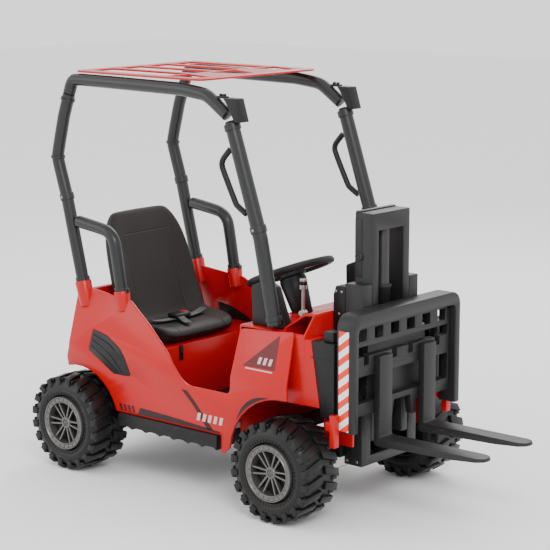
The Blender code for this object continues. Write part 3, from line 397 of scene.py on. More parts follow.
def rim_shape(face):
    """The flange and barrel, spokes and hub of one rim about the origin, its outer face at +Y."""
    profile = [
        (face - 0.0030, FLANGE_OUT),
        (face - 0.0006, FLANGE_OUT - 0.0010),
        (face - 0.0006, FLANGE_OUT - 0.0030),
        (face - 0.0026, FLANGE_OUT - 0.0042),
        (face - 0.0034, FLANGE_IN + 0.0030),
        (face - 0.0016, FLANGE_IN + 0.0014),
        (face - 0.0022, FLANGE_IN),
        (face - 0.0200, FLANGE_IN - 0.0035),
        (face - 0.0200, FLANGE_IN - 0.0015),
        (face - 0.0060, FLANGE_IN + 0.0020),
        (face - 0.0075, FLANGE_OUT - 0.0015),
        (-face + 0.0040, FLANGE_OUT - 0.0015),
        (-face + 0.0020, FLANGE_OUT - 0.0004),
        (-face + 0.0020, FLANGE_OUT + 0.0002),
    ]
    shape = spun(profile, 96)
    for i in range(NOTCHES):
        turn = Matrix.Rotation(i * math.tau / NOTCHES, 4, "Y")
        stud = (0, face - 0.0026, (FLANGE_OUT + FLANGE_IN) / 2 + 0.0002)
        block(shape, stud, (0.0042, 0.0018, 0.0052), 0.0006, turn)
    for i in range(SPOKE_PAIRS):
        for side in (1, -1):
            turn = Matrix.Rotation((i + 0.5) * math.tau / SPOKE_PAIRS, 4, "Y")
            block(
                shape,
                (side * 0.0040, face - 0.0130, (HUB_RADIUS + FLANGE_IN) / 2 - 0.003),
                (0.0042, 0.0105, FLANGE_IN - HUB_RADIUS + 0.004),
                0.0009,
                turn,
                lambda corner, s=side: (s * (corner.z - HUB_RADIUS) * 0.11, (corner.z - 0.03) * 0.14, 0),
            )
    hub = spun(
        [
            (face - 0.0240, 0),
            (face - 0.0240, 0.0150),
            (face - 0.0120, 0.0145),
            (face - 0.0095, 0.0125),
            (face - 0.0092, 0.0085),
            (face - 0.0110, 0.0078),
            (face - 0.0110, 0),
        ],
        48,
    )
    merge_into(shape, hub)
    for i in range(SPOKE_PAIRS):
        turn = Matrix.Rotation(i * math.tau / SPOKE_PAIRS, 4, "Y")
        block(shape, (0, face - 0.0108, 0.0048), (0.0026, 0.0030, 0.0052), 0.0006, turn)
    return shape


rim_silver = finish_of("silver_paint", RIM_COLOR, 0.34, 0.7, 0.15, 0.15, metallic=0.75, scale=1800)
rim_back = finish_of("backing_black", RIM_BACK_COLOR, 0.6, 0.3, 0.4, 0.2)
for wheel in WHEELS:
    half_width = wheel_frame("rim_" + wheel)[1]
    rim = wheel_piece("spoked_rim_" + wheel, rim_shape(half_width), "rim_" + wheel, rim_silver)
    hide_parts("rim_" + wheel)
    back = spun(
        [
            (half_width - 0.0215, 0),
            (half_width - 0.0215, FLANGE_OUT - 0.0020),
            (half_width - 0.0250, FLANGE_OUT - 0.0020),
            (half_width - 0.0250, 0),
        ],
        64,
    )
    wheel_piece("rim_backing_" + wheel, back, "rim_" + wheel, rim_back)


# ---- Chassis and running boards ----
# One black moulded floor pan that carries everything. Its two running boards stand out below the
# side panels, with a ribbed lower edge that gives a foot some grip.

BLACK = (0.0042, 0.0040, 0.0042, 1)

black_plastic = finish_of("satin_black_plastic", BLACK, 0.46, 0.5, 0.5, 0.22, scale=1100, waves=0.3)
soft_edged("chassis", black_plastic, 0.0012)


# ---- Side vents ----
# Black crescent grilles pressed into the red side panels behind the seat. Each has three long
# ribs that follow its curve, standing a little above the recessed plate.

VENT_RIB = 0.0016
VENT_RIBS = (0.22, 0.5, 0.78)
BELT_HEIGHT = 0.298
PANEL_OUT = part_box("side_panel_L")[1].y
PANEL_LEAN = 0.27


def skin_y(height, lift=0.0):
    """How far out the side panel's face stands at a height: it leans inwards above the belt line."""
    return PANEL_OUT - max(0.0, height - BELT_HEIGHT) * PANEL_LEAN + lift


def wire(name, points, radius, material, body, sides=3):
    """A round bar along a smooth line through the points, made a mesh with closed ends."""
    curve = bpy.data.curves.new(name, "CURVE")
    curve.dimensions = "3D"
    curve.bevel_depth = radius
    curve.bevel_resolution = sides
    curve.use_fill_caps = True
    curve.resolution_u = 6
    spline = curve.splines.new("BEZIER")
    spline.bezier_points.add(len(points) - 1)
    for knot, place in zip(spline.bezier_points, points):
        knot.co = place
        knot.handle_left_type = "AUTO"
        knot.handle_right_type = "AUTO"
    holder = bpy.data.objects.new(name, curve)
    bpy.context.scene.collection.objects.link(holder)
    evaluated = holder.evaluated_get(bpy.context.evaluated_depsgraph_get())
    shape = bmesh.new()
    shape.from_mesh(evaluated.to_mesh())
    bpy.data.objects.remove(holder)
    bmesh.ops.remove_doubles(shape, verts=shape.verts, dist=0.00001)
    return make_piece(name, shape, material, body)


vent_black = finish_of("vent_black", (0.006, 0.006, 0.007, 1), 0.38, 0.3, 0.3, 0.15, scale=1200)
for tag, side in (("L", 1), ("R", -1)):
    plate = "side_vent_" + tag
    soft_edged(plate, vent_black, 0.0005)
    low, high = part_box(plate)
    for number, share in enumerate(VENT_RIBS):
        rear = (low.x + 0.007, low.z + 0.045 + share * 0.047)
        bend = (low.x + 0.041 + share * 0.052, low.z + 0.0225 + share * 0.043)
        foot = (low.x + 0.084 + share * 0.052, low.z + 0.0045)
        points = [(x, side * skin_y(z, 0.0002), z) for x, z in (rear, bend, foot)]
        wire(f"vent_rib_{tag}_{number}", points, VENT_RIB, vent_black, "truck")


# ---- Seat ----
# A one-piece moulded bucket seat in a brown-black soft-touch plastic. Its sides rise into bolsters,
# its back narrows to rounded shoulders, and panel lines are pressed into the back like seams.

SEAT_COLOR = (0.0115, 0.0085, 0.0078, 1)
SEAT_RING = 40
# Each station: x, z, half width, thickness, bolster height.
SEAT_STATIONS = (
    (-0.2950, 0.3125, 0.098, 0.020, 0.002),
    (-0.2985, 0.3170, 0.110, 0.033, 0.004),
    (-0.3080, 0.3205, 0.120, 0.039, 0.009),
    (-0.3300, 0.3215, 0.127, 0.041, 0.014),
    (-0.3600, 0.3200, 0.129, 0.042, 0.017),
    (-0.3950, 0.3185, 0.130, 0.044, 0.021),
    (-0.4220, 0.3230, 0.130, 0.048, 0.027),
    (-0.4400, 0.3420, 0.130, 0.048, 0.030),
    (-0.4520, 0.3750, 0.130, 0.042, 0.028),
    (-0.4640, 0.4200, 0.130, 0.038, 0.025),
    (-0.4770, 0.4700, 0.129, 0.037, 0.021),
    (-0.4890, 0.5150, 0.126, 0.036, 0.016),
    (-0.4985, 0.5500, 0.119, 0.035, 0.010),
    (-0.5060, 0.5780, 0.106, 0.032, 0.005),
    (-0.5095, 0.5930, 0.092, 0.024, 0.002),
    (-0.5110, 0.5985, 0.080, 0.012, 0.0),
)


def seat_shape():
    """The seat lofted through its stations: a flat-backed oval ring at each, raised at its sides."""
    shape = bmesh.new()
    rings = []
    last = len(SEAT_STATIONS) - 1
    for number, (x, z, half, thick, bolster) in enumerate(SEAT_STATIONS):
        before = SEAT_STATIONS[max(0, number - 1)]
        after = SEAT_STATIONS[min(last, number + 1)]
        along = Vector((after[0] - before[0], 0, after[1] - before[1])).normalized()
        out = Vector((along.z, 0, -along.x))
        ring = bmesh.ops.create_circle(shape, cap_ends=number in (0, last), segments=SEAT_RING, radius=1)
        for vert in ring["verts"]:
            wide = math.copysign(abs(vert.co.x) ** 0.55, vert.co.x)
            deep = math.copysign(abs(vert.co.y) ** 0.6, vert.co.y) / 2 * thick
            if vert.co.y > 0.01:
                deep += bolster * max(0.0, (abs(wide) - 0.55) / 0.45) ** 1.6 - 0.004 * (1 - wide**2)
            vert.co = Vector((x, wide * half, z)) + out * deep
        rings.append(list({e for v in ring["verts"] for e in v.link_edges}))
    for first, second in zip(rings, rings[1:]):
        bmesh.ops.bridge_loops(shape, edges=first + second)
    bmesh.ops.recalc_face_normals(shape, faces=shape.faces)
    return shape


def pressed_seams():
    """Lines pressed into the seat back: one across it, and one down the inside of each bolster."""
    group, source, result = new_group(
        "pressed_seams",
        [
            ("Line Width", "NodeSocketFloat", 0.0022),
            ("Half Spread", "NodeSocketFloat", 0.078),
            ("Cross Height", "NodeSocketFloat", 0.545),
        ],
        [("Depth", "NodeSocketFloat")],
    )
    place = add(group, "ShaderNodeTexCoord")
    split = add(group, "ShaderNodeSeparateXYZ")
    beside = add(group, "ShaderNodeMath", operation="ABSOLUTE")
    from_line = add(group, "ShaderNodeMath", operation="SUBTRACT")
    near_line = add(group, "ShaderNodeMath", operation="ABSOLUTE")
    down = add(group, "ShaderNodeMapRange", values={"To Min": 1.0, "To Max": 0.0})
    below = add(group, "ShaderNodeMath", operation="LESS_THAN")
    over = add(group, "ShaderNodeMath", operation="SUBTRACT")
    near_cross = add(group, "ShaderNodeMath", operation="ABSOLUTE")
    across = add(group, "ShaderNodeMapRange", values={"To Min": 1.0, "To Max": 0.0})
    inside = add(group, "ShaderNodeMath", operation="LESS_THAN")
    upright = add(group, "ShaderNodeMath", operation="MULTIPLY")
    level = add(group, "ShaderNodeMath", operation="MULTIPLY")
    both = add(group, "ShaderNodeMath", operation="MAXIMUM")
    link = group.links.new
    link(place.outputs["Object"], split.inputs["Vector"])
    link(split.outputs["Y"], beside.inputs[0])
    link(beside.outputs[0], from_line.inputs[0])
    link(source.outputs["Half Spread"], from_line.inputs[1])
    link(from_line.outputs[0], near_line.inputs[0])
    link(near_line.outputs[0], down.inputs["Value"])
    link(source.outputs["Line Width"], down.inputs["From Max"])
    link(split.outputs["Z"], below.inputs[0])
    link(source.outputs["Cross Height"], below.inputs[1])
    link(split.outputs["Z"], over.inputs[0])
    link(source.outputs["Cross Height"], over.inputs[1])
    link(over.outputs[0], near_cross.inputs[0])
    link(near_cross.outputs[0], across.inputs["Value"])
    link(source.outputs["Line Width"], across.inputs["From Max"])
    link(beside.outputs[0], inside.inputs[0])
    link(source.outputs["Half Spread"], inside.inputs[1])
    link(down.outputs["Result"], upright.inputs[0])
    link(below.outputs[0], upright.inputs[1])
    link(across.outputs["Result"], level.inputs[0])
    link(inside.outputs[0], level.inputs[1])
    link(upright.outputs[0], both.inputs[0])
    link(level.outputs[0], both.inputs[1])
    link(both.outputs[0], result.inputs["Depth"])
    return group


seat_plastic = finish_of("seat_soft_touch", SEAT_COLOR, 0.52, 0.6, 0.8, 0.3, scale=1500, waves=0.4)
tree = seat_plastic.node_tree
seams = add(tree, "ShaderNodeGroup", node_tree=pressed_seams())
groove = add(tree, "ShaderNodeBump", invert=True, values={"Strength": 0.8, "Distance": 0.0018})
grained = tree.nodes["Principled BSDF"].inputs["Normal"].links[0].from_socket
tree.links.new(seams.outputs["Depth"], groove.inputs["Height"])
tree.links.new(grained, groove.inputs["Normal"])
tree.links.new(groove.outputs["Normal"], tree.nodes["Principled BSDF"].inputs["Normal"])
seat = make_piece("bucket_seat", seat_shape(), seat_plastic, "truck", math.radians(60))
smooth = seat.modifiers.new("smooth", "SUBSURF")
smooth.levels = 2
smooth.render_levels = 2
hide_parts("seat")


# ---- Seat belt ----
# Black woven webbing across the cushion, with its tongue in a moulded buckle. The two ends go down
# beside the cushion, and a tail of webbing hangs forward from the buckle's slide.

WEB_COLOR = (0.0050, 0.0050, 0.0055, 1)
WEB_THICK = 0.0016
WEB_WIDE = 0.024


def webbing_finish():
    """Woven ribs across the strap, from its own UV: u along the strap in metres, v across it."""
    material = finish_of("woven_webbing", WEB_COLOR, 0.8, 0.4, 0.2, 0.3, scale=2200)
    tree = material.node_tree
    shader = tree.nodes["Principled BSDF"]
    shader.inputs["Sheen Weight"].default_value = 0.35
    place = add(tree, "ShaderNodeUVMap", uv_map="weave")
    ribs = add(tree, "ShaderNodeTexWave", wave_type="BANDS", bands_direction="X", values={"Scale": 160.0})
    warp = add(tree, "ShaderNodeTexWave", wave_type="BANDS", bands_direction="Y", values={"Scale": 220.0})
    weave = add(tree, "ShaderNodeMath", operation="MULTIPLY")
    relief = add(tree, "ShaderNodeBump", values={"Strength": 0.5, "Distance": 0.0005})
    tree.links.new(place.outputs["UV"], ribs.inputs["Vector"])
    tree.links.new(place.outputs["UV"], warp.inputs["Vector"])
    tree.links.new(ribs.outputs["Fac"], weave.inputs[0])
    tree.links.new(warp.outputs["Fac"], weave.inputs[1])
    tree.links.new(weave.outputs[0], relief.inputs["Height"])
    tree.links.new(relief.outputs["Normal"], shader.inputs["Normal"])
    return material


def strap(name, line, across, width, thick, material, body):
    """A flat strap swept along a line of points, with its width along one direction."""
    shape = bmesh.new()
    layer = shape.loops.layers.uv.new("weave")
    across = Vector(across).normalized()
    rows = []
    length = 0.0
    lengths = []
    for number, point in enumerate(line):
        length += (Vector(point) - Vector(line[max(0, number - 1)])).length
        lengths.append(length)
        rows.append([shape.verts.new(Vector(point) + across * width * s) for s in (-0.5, -0.2, 0.2, 0.5)])
    for number, (first, second) in enumerate(zip(rows, rows[1:])):
        for k in range(3):
            face = shape.faces.new((first[k], second[k], second[k + 1], first[k + 1]))
            for loop in face.loops:
                row = number if loop.vert in first else number + 1
                place = (rows[row].index(loop.vert)) * width / 3
                loop[layer].uv = (lengths[row], place)
    bmesh.ops.recalc_face_normals(shape, faces=shape.faces)
    piece = make_piece(name, shape, material, body, math.radians(50))
    wall = piece.modifiers.new("thickness", "SOLIDIFY")
    wall.thickness = thick
    wall.offset = 0
    soft = piece.modifiers.new("soft", "SUBSURF")
    soft.levels = 1
    soft.render_levels = 1
    return piece


webbing = webbing_finish()
low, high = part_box("belt_strap")
lie = (low.z + high.z) / 2
middle = (low.x + high.x) / 2
belt = []
for step in range(17):
    share = step / 16 * 2 - 1
    rise = 0.0085 * abs(share) ** 5
    belt.append((middle - 0.010 * share**2, share * high.y, lie - 0.0018 + rise))
lap_belt = strap("lap_belt", belt, (1, 0, 0), WEB_WIDE, WEB_THICK, webbing, "truck")
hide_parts("belt_strap")
tail = [(middle + x, y, lie + z) for x, y, z in (
    (0.004, -0.006, 0.0042),
    (0.016, -0.012, 0.0046),
    (0.032, -0.019, 0.0010),
    (0.046, -0.024, -0.0012),
    (0.060, -0.030, -0.0022),
)]
strap("belt_tail", tail, (0.35, 1, 0), 0.020, WEB_THICK, webbing, "truck")
soft_edged("belt_buckle", black_plastic, 0.0022)
buckle_low, buckle_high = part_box("belt_buckle")
button = bmesh.new()
block(
    button,
    ((buckle_low.x + buckle_high.x) / 2, buckle_high.y - 0.010, buckle_high.z + 0.0004),
    (0.018, 0.012, 0.0022),
    0.0008,
)
release_red = finish_of("release_button_red", (0.45, 0.012, 0.012, 1), 0.4, 0.4, 0.2, 0.15)
make_piece("belt_release_button", button, release_red, "truck")


# ---- Roll cage ----
# Dark grey tubes, plugged into the shells at their feet and into each other at moulded collars that
# a screw holds. Two lamp housings sit at the front bends and a black grab handle on each pillar.

TUBE_COLOR = (0.0135, 0.0140, 0.0150, 1)
ROUND = math.radians(50)
COLLAR_WALL = 0.0014
# Each collar: the tube that it grips, its height, its length along the tube, and whether it is screwed.
COLLARS = (
    ("rear_post", 0.740, 0.007, False),
    ("rear_post", 0.646, 0.016, True),
    ("rear_post", 0.450, 0.014, False),
    ("rear_post", 0.880, 0.007, False),
    ("front_pillar", 0.630, 0.016, True),
    ("front_pillar", 0.850, 0.014, False),
    ("front_pillar", 0.436, 0.010, False),
)


def round_bar(node, material):
    """A tube node with its facets smoothed to a round section and its cut ends kept crisp."""
    shape = cad_shape(node)
    crease = shape.edges.layers.float.new("crease_edge")
    for edge in shape.edges:
        if edge.is_manifold and edge.calc_face_angle(0) > ROUND:
            edge[crease] = 0.9
    bar = make_piece(node + "_skin", shape, material, body_of(node), ROUND)
    rounding = bar.modifiers.new("rounding", "SUBSURF")
    rounding.levels = 2
    rounding.render_levels = 2
    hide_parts(node)
    return bar


def section(node, height):
    """The centre and radius of a tube where a level plane crosses it."""
    shape = bmesh.new()
    shape.from_mesh(frame["nodes"][node].data)
    everything = shape.verts[:] + shape.edges[:] + shape.faces[:]
    made = bmesh.ops.bisect_plane(shape, geom=everything, plane_co=(0, 0, height), plane_no=(0, 0, 1))
    points = [v.co.copy() for v in made["geom_cut"] if isinstance(v, bmesh.types.BMVert)]
    shape.free()
    center = Vector((
        (max(p.x for p in points) + min(p.x for p in points)) / 2,
        (max(p.y for p in points) + min(p.y for p in points)) / 2,
        height,
    ))
    return center, (max(p.y for p in points) - min(p.y for p in points)) / 2


def screw_head(shape, center, outward, radius):
    """A pan head, its back at the centre and its dome outwards."""
    dome = spun(
        [(-0.0010, 0), (-0.0010, radius), (0.0008, radius), (0.0016, radius * 0.7), (0.0019, 0)],
        18,
        outward,
        center,
    )
    merge_into(shape, dome)


def collar(shape, node, height, length):
    """A short ring round a tube, square to it."""
    center, radius = section(node, height)
    above, _ = section(node, height + 0.006)
    along = (above - center).normalized()
    grip = radius - 0.0008
    out = radius + COLLAR_WALL
    ring = [
        (-length / 2, grip),
        (-length / 2, out - 0.0006),
        (-length / 2 + 0.0008, out),
        (length / 2 - 0.0008, out),
        (length / 2, out - 0.0006),
        (length / 2, grip),
    ]
    merge_into(shape, spun(ring, 40, along, center))
    return center, out


cage_grey = finish_of(
    "cage_grey_plastic", TUBE_COLOR, 0.36, 0.6, 0.25, 0.15, coat=0.15, scale=1100, waves=0.3
)
screw_zinc = finish_of("screw_zinc", (0.30, 0.29, 0.28, 1), 0.35, 0.5, 0.1, 0.1, metallic=0.9)
for tag, side in (("L", 1), ("R", -1)):
    for bar in ("rear_post", "roof_rail", "front_pillar", "side_bar"):
        round_bar(f"{bar}_{tag}", cage_grey)
    rings = bmesh.new()
    screws = bmesh.new()
    for bar, height, length, screwed in COLLARS:
        center, out = collar(rings, f"{bar}_{tag}", height, length)
        if screwed:
            screw_head(screws, center + Vector((0, side * out, 0)), (0, side, 0), 0.0034)
            screw_head(screws, center + Vector((-out, 0, 0)), (-1, 0, 0), 0.0034)
    low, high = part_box("side_bar_" + tag)
    foot, radius = section("side_bar_" + tag, low.z + 0.016)
    collar(rings, "side_bar_" + tag, low.z + 0.016, 0.012)
    block(rings, foot + Vector((radius + 0.003, 0, 0)), (0.007, 0.011, 0.011), 0.0012)
    make_piece("cage_collars_" + tag, rings, cage_grey, "truck")
    make_piece("cage_screws_" + tag, screws, screw_zinc, "truck")
    round_bar("grab_handle_" + tag, black_plastic)
    soft_edged("roof_lamp_" + tag, black_plastic, 0.0016)
    low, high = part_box("roof_lamp_" + tag)
    bracket = bmesh.new()
    middle = (low.y + high.y) / 2
    block(bracket, (low.x - 0.012, middle, high.z + 0.0005), (0.026, 0.014, 0.005), 0.0012)
    for along in (-0.018, -0.007):
        merge_into(bracket, spun(
            [(0, 0), (0, 0.0042), (0.0050, 0.0040), (0.0060, 0.0030), (0.0060, 0)],
            20,
            (0, 0, 1),
            (low.x + along, middle, high.z + 0.002),
        ))
    make_piece("lamp_bracket_" + tag, bracket, black_plastic, "truck")


# ---- Tube sockets ----
# Red cups moulded on the body's top edge, which the feet of the rear posts and side bars stand in.

CUP_WALL = 0.0038
CUP_RISE = 0.012

for tag in ("L", "R"):
    cups = bmesh.new()
    for node, depth in (("rear_post_" + tag, 0.060), ("side_bar_" + tag, 0.046)):
        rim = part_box(node)[0].z + CUP_RISE
        foot, radius = section(node, rim)
        above, _ = section(node, rim + 0.008)
        cup = [
            (-depth, 0),
            (-depth, radius + 0.0010),
            (-0.0025, radius + CUP_WALL),
            (0, radius + CUP_WALL - 0.0010),
            (0, 0),
        ]
        merge_into(cups, spun(cup, 40, (above - foot).normalized(), foot))
    make_piece("tube_sockets_" + tag, cups, red_shell, "truck")


# ---- Steering wheel and column ----
# A three-spoke moulded wheel with a padded hub and a round horn button, on a zinc-plated rod that
# runs down through the black column cone to the front axle.

turning = next(j for j in frame["joints"] if j["name"] == "steering_turn")
STEER_AT = Vector(turning["pos_m"])
STEER_ALONG = Vector(turning["axis"]).normalized()

wheel_grey = finish_of("wheel_grip_plastic", (0.0070, 0.0070, 0.0078, 1), 0.5, 0.5, 0.9, 0.3, scale=1500)
soft_edged("steering_wheel", wheel_grey, 0.0012, math.radians(42))
horn = spun(
    [
        (0.004, 0),
        (0.004, 0.0270),
        (0.0085, 0.0262),
        (0.0110, 0.0235),
        (0.0118, 0.0180),
        (0.0105, 0.0172),
        (0.0105, 0.0160),
        (0.0128, 0.0150),
        (0.0138, 0.0100),
        (0.0142, 0),
    ],
    56,
    STEER_ALONG,
    STEER_AT,
)
make_piece("horn_button", horn, black_plastic, "steering")
soft_edged("column_housing", black_plastic, 0.0012, math.radians(42))
zinc = finish_of("zinc_plate", (0.50, 0.49, 0.46, 1), 0.34, 0.7, 0.15, 0.12, metallic=0.95, scale=1500)
soft_edged("steering_shaft", zinc, 0.0004, ROUND)


# ---- Dashboard fittings, lever and pedal ----
# Small black fittings screwed to the dashboard: a switch plate with two rockers and a speaker
# grille. The lift lever has a ball knob, and the pedal is a plain plate hinged on the floor.

dash_low, dash_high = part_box("dash_panel")
plate = bmesh.new()
block(plate, (dash_low.x - 0.0015, 0.115, 0.365), (0.003, 0.070, 0.044), 0.0010)
for across in (0.098, 0.132):
    block(plate, (dash_low.x - 0.0042, across, 0.365), (0.0035, 0.016, 0.026), 0.0012)
make_piece("switch_plate", plate, black_plastic, "truck")
grille = bmesh.new()
for row in range(7):
    block(grille, (dash_low.x - 0.0012, -0.115, 0.345 + 0.006 * row), (0.0024, 0.056, 0.0028), 0.0006)
make_piece("speaker_grille", grille, black_plastic, "truck")
for tag, side in (("L", 1), ("R", -1)):
    soft_edged("pillar_cover_" + tag, black_plastic, 0.0020)
round_bar("lift_lever", zinc)
low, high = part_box("lift_lever")
knob_at = Vector(((low.x + high.x) / 2, (low.y + high.y) / 2, high.z - 0.0095))
knob = bmesh.new()
bmesh.ops.create_uvsphere(knob, u_segments=28, v_segments=18, radius=0.0100)
bmesh.ops.translate(knob, vec=knob_at, verts=knob.verts)
make_piece("lever_knob", knob, black_plastic, "lever")
soft_edged("throttle_pedal", black_plastic, 0.0012)


# ---- Running gear ----
# Zinc-plated beam, knuckles, tie rod and rear axle, two black geared motors, and the sealed battery
# in the box under the seat. All are bolted or clipped to the floor pan.

for node in ("front_axle_beam", "knuckle_L", "knuckle_R"):
    soft_edged(node, zinc, 0.0006, ROUND)
for node in ("tie_rod", "rear_axle"):
    round_bar(node, zinc)
for node in ("gear_motor_L", "gear_motor_R"):
    soft_edged(node, black_plastic, 0.0010, ROUND)
battery_grey = finish_of("battery_case_plastic", (0.010, 0.010, 0.012, 1), 0.55, 0.5, 0.6, 0.25)
soft_edged("battery", battery_grey, 0.0020)


# ---- Corner boxes ----
# Tapered black boxes that fill the corners between the nose and the mast. Each has a lid line a
# quarter of the way down and a smaller block standing on it.

for tag, side in (("L", 1), ("R", -1)):
    soft_edged("corner_box_" + tag, black_plastic, 0.0022)
    low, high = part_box("corner_box_" + tag)
    lid = bmesh.new()
    seam = high.z - 0.036
    block(lid, ((low.x + high.x) / 2 - 0.004, (low.y + high.y) / 2, seam), (0.0575, 0.0502, 0.0022), 0.0008)
    block(lid, (high.x - 0.022, (low.y + high.y) / 2, high.z + 0.0115), (0.028, 0.030, 0.024), 0.0026)
    make_piece("corner_lid_" + tag, lid, black_plastic, "truck")


# ---- Mast ----
# Two hollow grey plastic stages: fixed outer channels with capped tops, and an inner frame that
# slides in them, raised by a rod in the cylinder between. Pan-head screws hold the mouldings.

MAST_COLOR = (0.0145, 0.0145, 0.0155, 1)

mast_grey = finish_of("mast_grey_plastic", MAST_COLOR, 0.44, 0.6, 0.7, 0.25, scale=1100, waves=0.4)
soft_edged("mast_outer", mast_grey, 0.0018)
soft_edged("mast_inner", mast_grey, 0.0024)
soft_edged("mast_mount", black_plastic, 0.0022)
soft_edged("lift_cylinder", mast_grey, 0.0010, ROUND)
rod_grey = finish_of("rod_grey", (0.030, 0.030, 0.032, 1), 0.3, 0.5, 0.1, 0.1, metallic=0.3)
soft_edged("lift_rod", rod_grey, 0.0010, ROUND)
outer_low, outer_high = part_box("mast_outer")
inner_low, inner_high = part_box("mast_inner")
mount_low, mount_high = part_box("mast_mount")
trim = bmesh.new()
screws = bmesh.new()
inner_trim = bmesh.new()
for side in (1, -1):
    wall = side * outer_high.y
    for forward in (0.009, 0.036):
        screw_head(screws, (outer_low.x + forward, wall, outer_low.z + 0.010), (0, side, 0), 0.0036)
    for forward, height in ((0.008, -0.012), (0.024, -0.012), (0.017, -0.062), (0.017, -0.088)):
        place = (mount_low.x + forward, side * mount_high.y, mount_high.z + height)
        screw_head(screws, place, (0, side, 0), 0.0032)
    block(
        trim,
        (outer_low.x + 0.025, side * (outer_high.y + 0.0006), (outer_low.z + outer_high.z) / 2 - 0.02),
        (0.006, 0.0024, 0.300),
        0.0010,
    )
    flank = side * 0.0670
    block(inner_trim, (inner_low.x + 0.0105, flank, 0.592), (0.019, 0.0026, 0.130), 0.0010)
    button = spun(
        [
            (0, 0),
            (0, 0.0100),
            (0.0030, 0.0100),
            (0.0042, 0.0088),
            (0.0042, 0.0062),
            (0.0030, 0.0054),
            (0.0030, 0),
        ],
        36,
        (0, side, 0),
        (inner_low.x + 0.0125, flank, 0.573),
    )
    merge_into(inner_trim, button)
block(inner_trim, (inner_low.x + 0.006, 0, inner_high.z + 0.0010), (0.012, 0.130, 0.004), 0.0014)
make_piece("mast_ribs", trim, mast_grey, "truck")
make_piece("mast_screws", screws, screw_zinc, "truck")
make_piece("inner_mast_trim", inner_trim, mast_grey, "mast_stage")


# ---- Carriage, guard and forks ----
# The load guard is a bent square bar with a slotted grid behind it; both forks hook over the grid.
# Their blades taper to rounded tips. Hazard stripes are stickers down the guard's outer sides.

TIP_ROUND = 0.026
TIP_STEPS = 7
FORK_EDGE = 0.0016
STICKER_RED = (0.80, 0.035, 0.012, 1)
STICKER_WHITE = (0.86, 0.86, 0.85, 1)
STRIPE_PITCH = 0.0314
STRIPE_RISE = 0.75

soft_edged("carriage_guard", mast_grey, 0.0032)
soft_edged("carriage_grid", mast_grey, 0.0014)


def rounded_fork(node, material):
    """The fork with its blade's tip rounded in plan."""
    shape = cad_shape(node)
    low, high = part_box(node)
    middle = (low.y + high.y) / 2
    start = high.x - TIP_ROUND
    for step in range(TIP_STEPS):
        reach = start + TIP_ROUND * math.sin(step / TIP_STEPS * math.pi / 2)
        everything = shape.verts[:] + shape.edges[:] + shape.faces[:]
        bmesh.ops.bisect_plane(shape, geom=everything, plane_co=(reach, 0, 0), plane_no=(1, 0, 0))
    for vert in shape.verts:
        share = max(0.0, (vert.co.x - start) / TIP_ROUND)
        if share:
            vert.co.y = middle + (vert.co.y - middle) * math.sqrt(max(0.03, 1 - share**2 * 0.98))
    sharp = [e for e in shape.edges if e.is_manifold and e.calc_face_angle(0) > ROUND]
    round_edges(shape, sharp, FORK_EDGE)
    piece = make_piece(node + "_skin", shape, material, body_of(node), ROUND)
    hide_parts(node)
    return piece


def hazard_finish():
    """Slanted red and white bands on a glossy sticker, from the sticker's place."""
    material = finish_of("hazard_sticker", STICKER_WHITE, 0.28, 0.5, 0.05, 0.08)
    tree = material.node_tree
    place = add(tree, "ShaderNodeTexCoord")
    split = add(tree, "ShaderNodeSeparateXYZ")
    rise = add(tree, "ShaderNodeMath", operation="MULTIPLY_ADD")
    rise.inputs[1].default_value = -STRIPE_RISE
    bands = add(tree, "ShaderNodeMath", operation="DIVIDE")
    bands.inputs[1].default_value = STRIPE_PITCH
    part = add(tree, "ShaderNodeMath", operation="FRACT")
    half = add(tree, "ShaderNodeMath", operation="GREATER_THAN")
    half.inputs[1].default_value = 0.5
    paint = add(tree, "ShaderNodeMix", data_type="RGBA")
    paint.inputs["A"].default_value = STICKER_WHITE
    paint.inputs["B"].default_value = STICKER_RED
    wear = next(n for n in tree.nodes if n.type == "GROUP" and n.node_tree == handling_scuffs)
    tree.links.new(place.outputs["Object"], split.inputs["Vector"])
    tree.links.new(split.outputs["X"], rise.inputs[0])
    tree.links.new(split.outputs["Z"], rise.inputs[2])
    tree.links.new(rise.outputs[0], bands.inputs[0])
    tree.links.new(bands.outputs[0], part.inputs[0])
    tree.links.new(part.outputs[0], half.inputs[0])
    tree.links.new(half.outputs[0], paint.inputs["Factor"])
    tree.links.new(paint.outputs["Result"], wear.inputs["Color"])
    return material


hazard = hazard_finish()
guard_low, guard_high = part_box("carriage_guard")
for tag, side in (("L", 1), ("R", -1)):
    rounded_fork("fork_" + tag, mast_grey)
    sticker = bmesh.new()
    face = side * (guard_high.y + 0.0002)
    block(sticker, ((guard_low.x + guard_high.x) / 2 - 0.0035, face, 0.3245), (0.027, 0.0006, 0.220), 0)
    make_piece("hazard_stripes_" + tag, sticker, hazard, "carriage")


# ---- Panel graphics ----
# Printed film stickers on the side panels: a dark wedge with pale bars, a slash, a tapered stripe
# with hash marks along the sill, a row of pale bars, and a dark crescent over the front arch.

FILM = 0.0003
ARCH_CENTER = Vector((0.15275, 0.1155))
ARCH_EDGE = 0.1532
ARCH_STEPS = 8
WEDGE = [(0.0370, 0.3270), (0.1290, 0.3280), (0.1290, 0.4040)]
SLASH = [(-0.144, 0.245), (-0.126, 0.243), (-0.100, 0.220), (-0.046, 0.164), (-0.064, 0.164), (-0.106, 0.212)]
SILL_STRIPE = [(-0.284, 0.1605), (-0.026, 0.1600), (-0.026, 0.1640), (-0.190, 0.1740), (-0.276, 0.1775)]

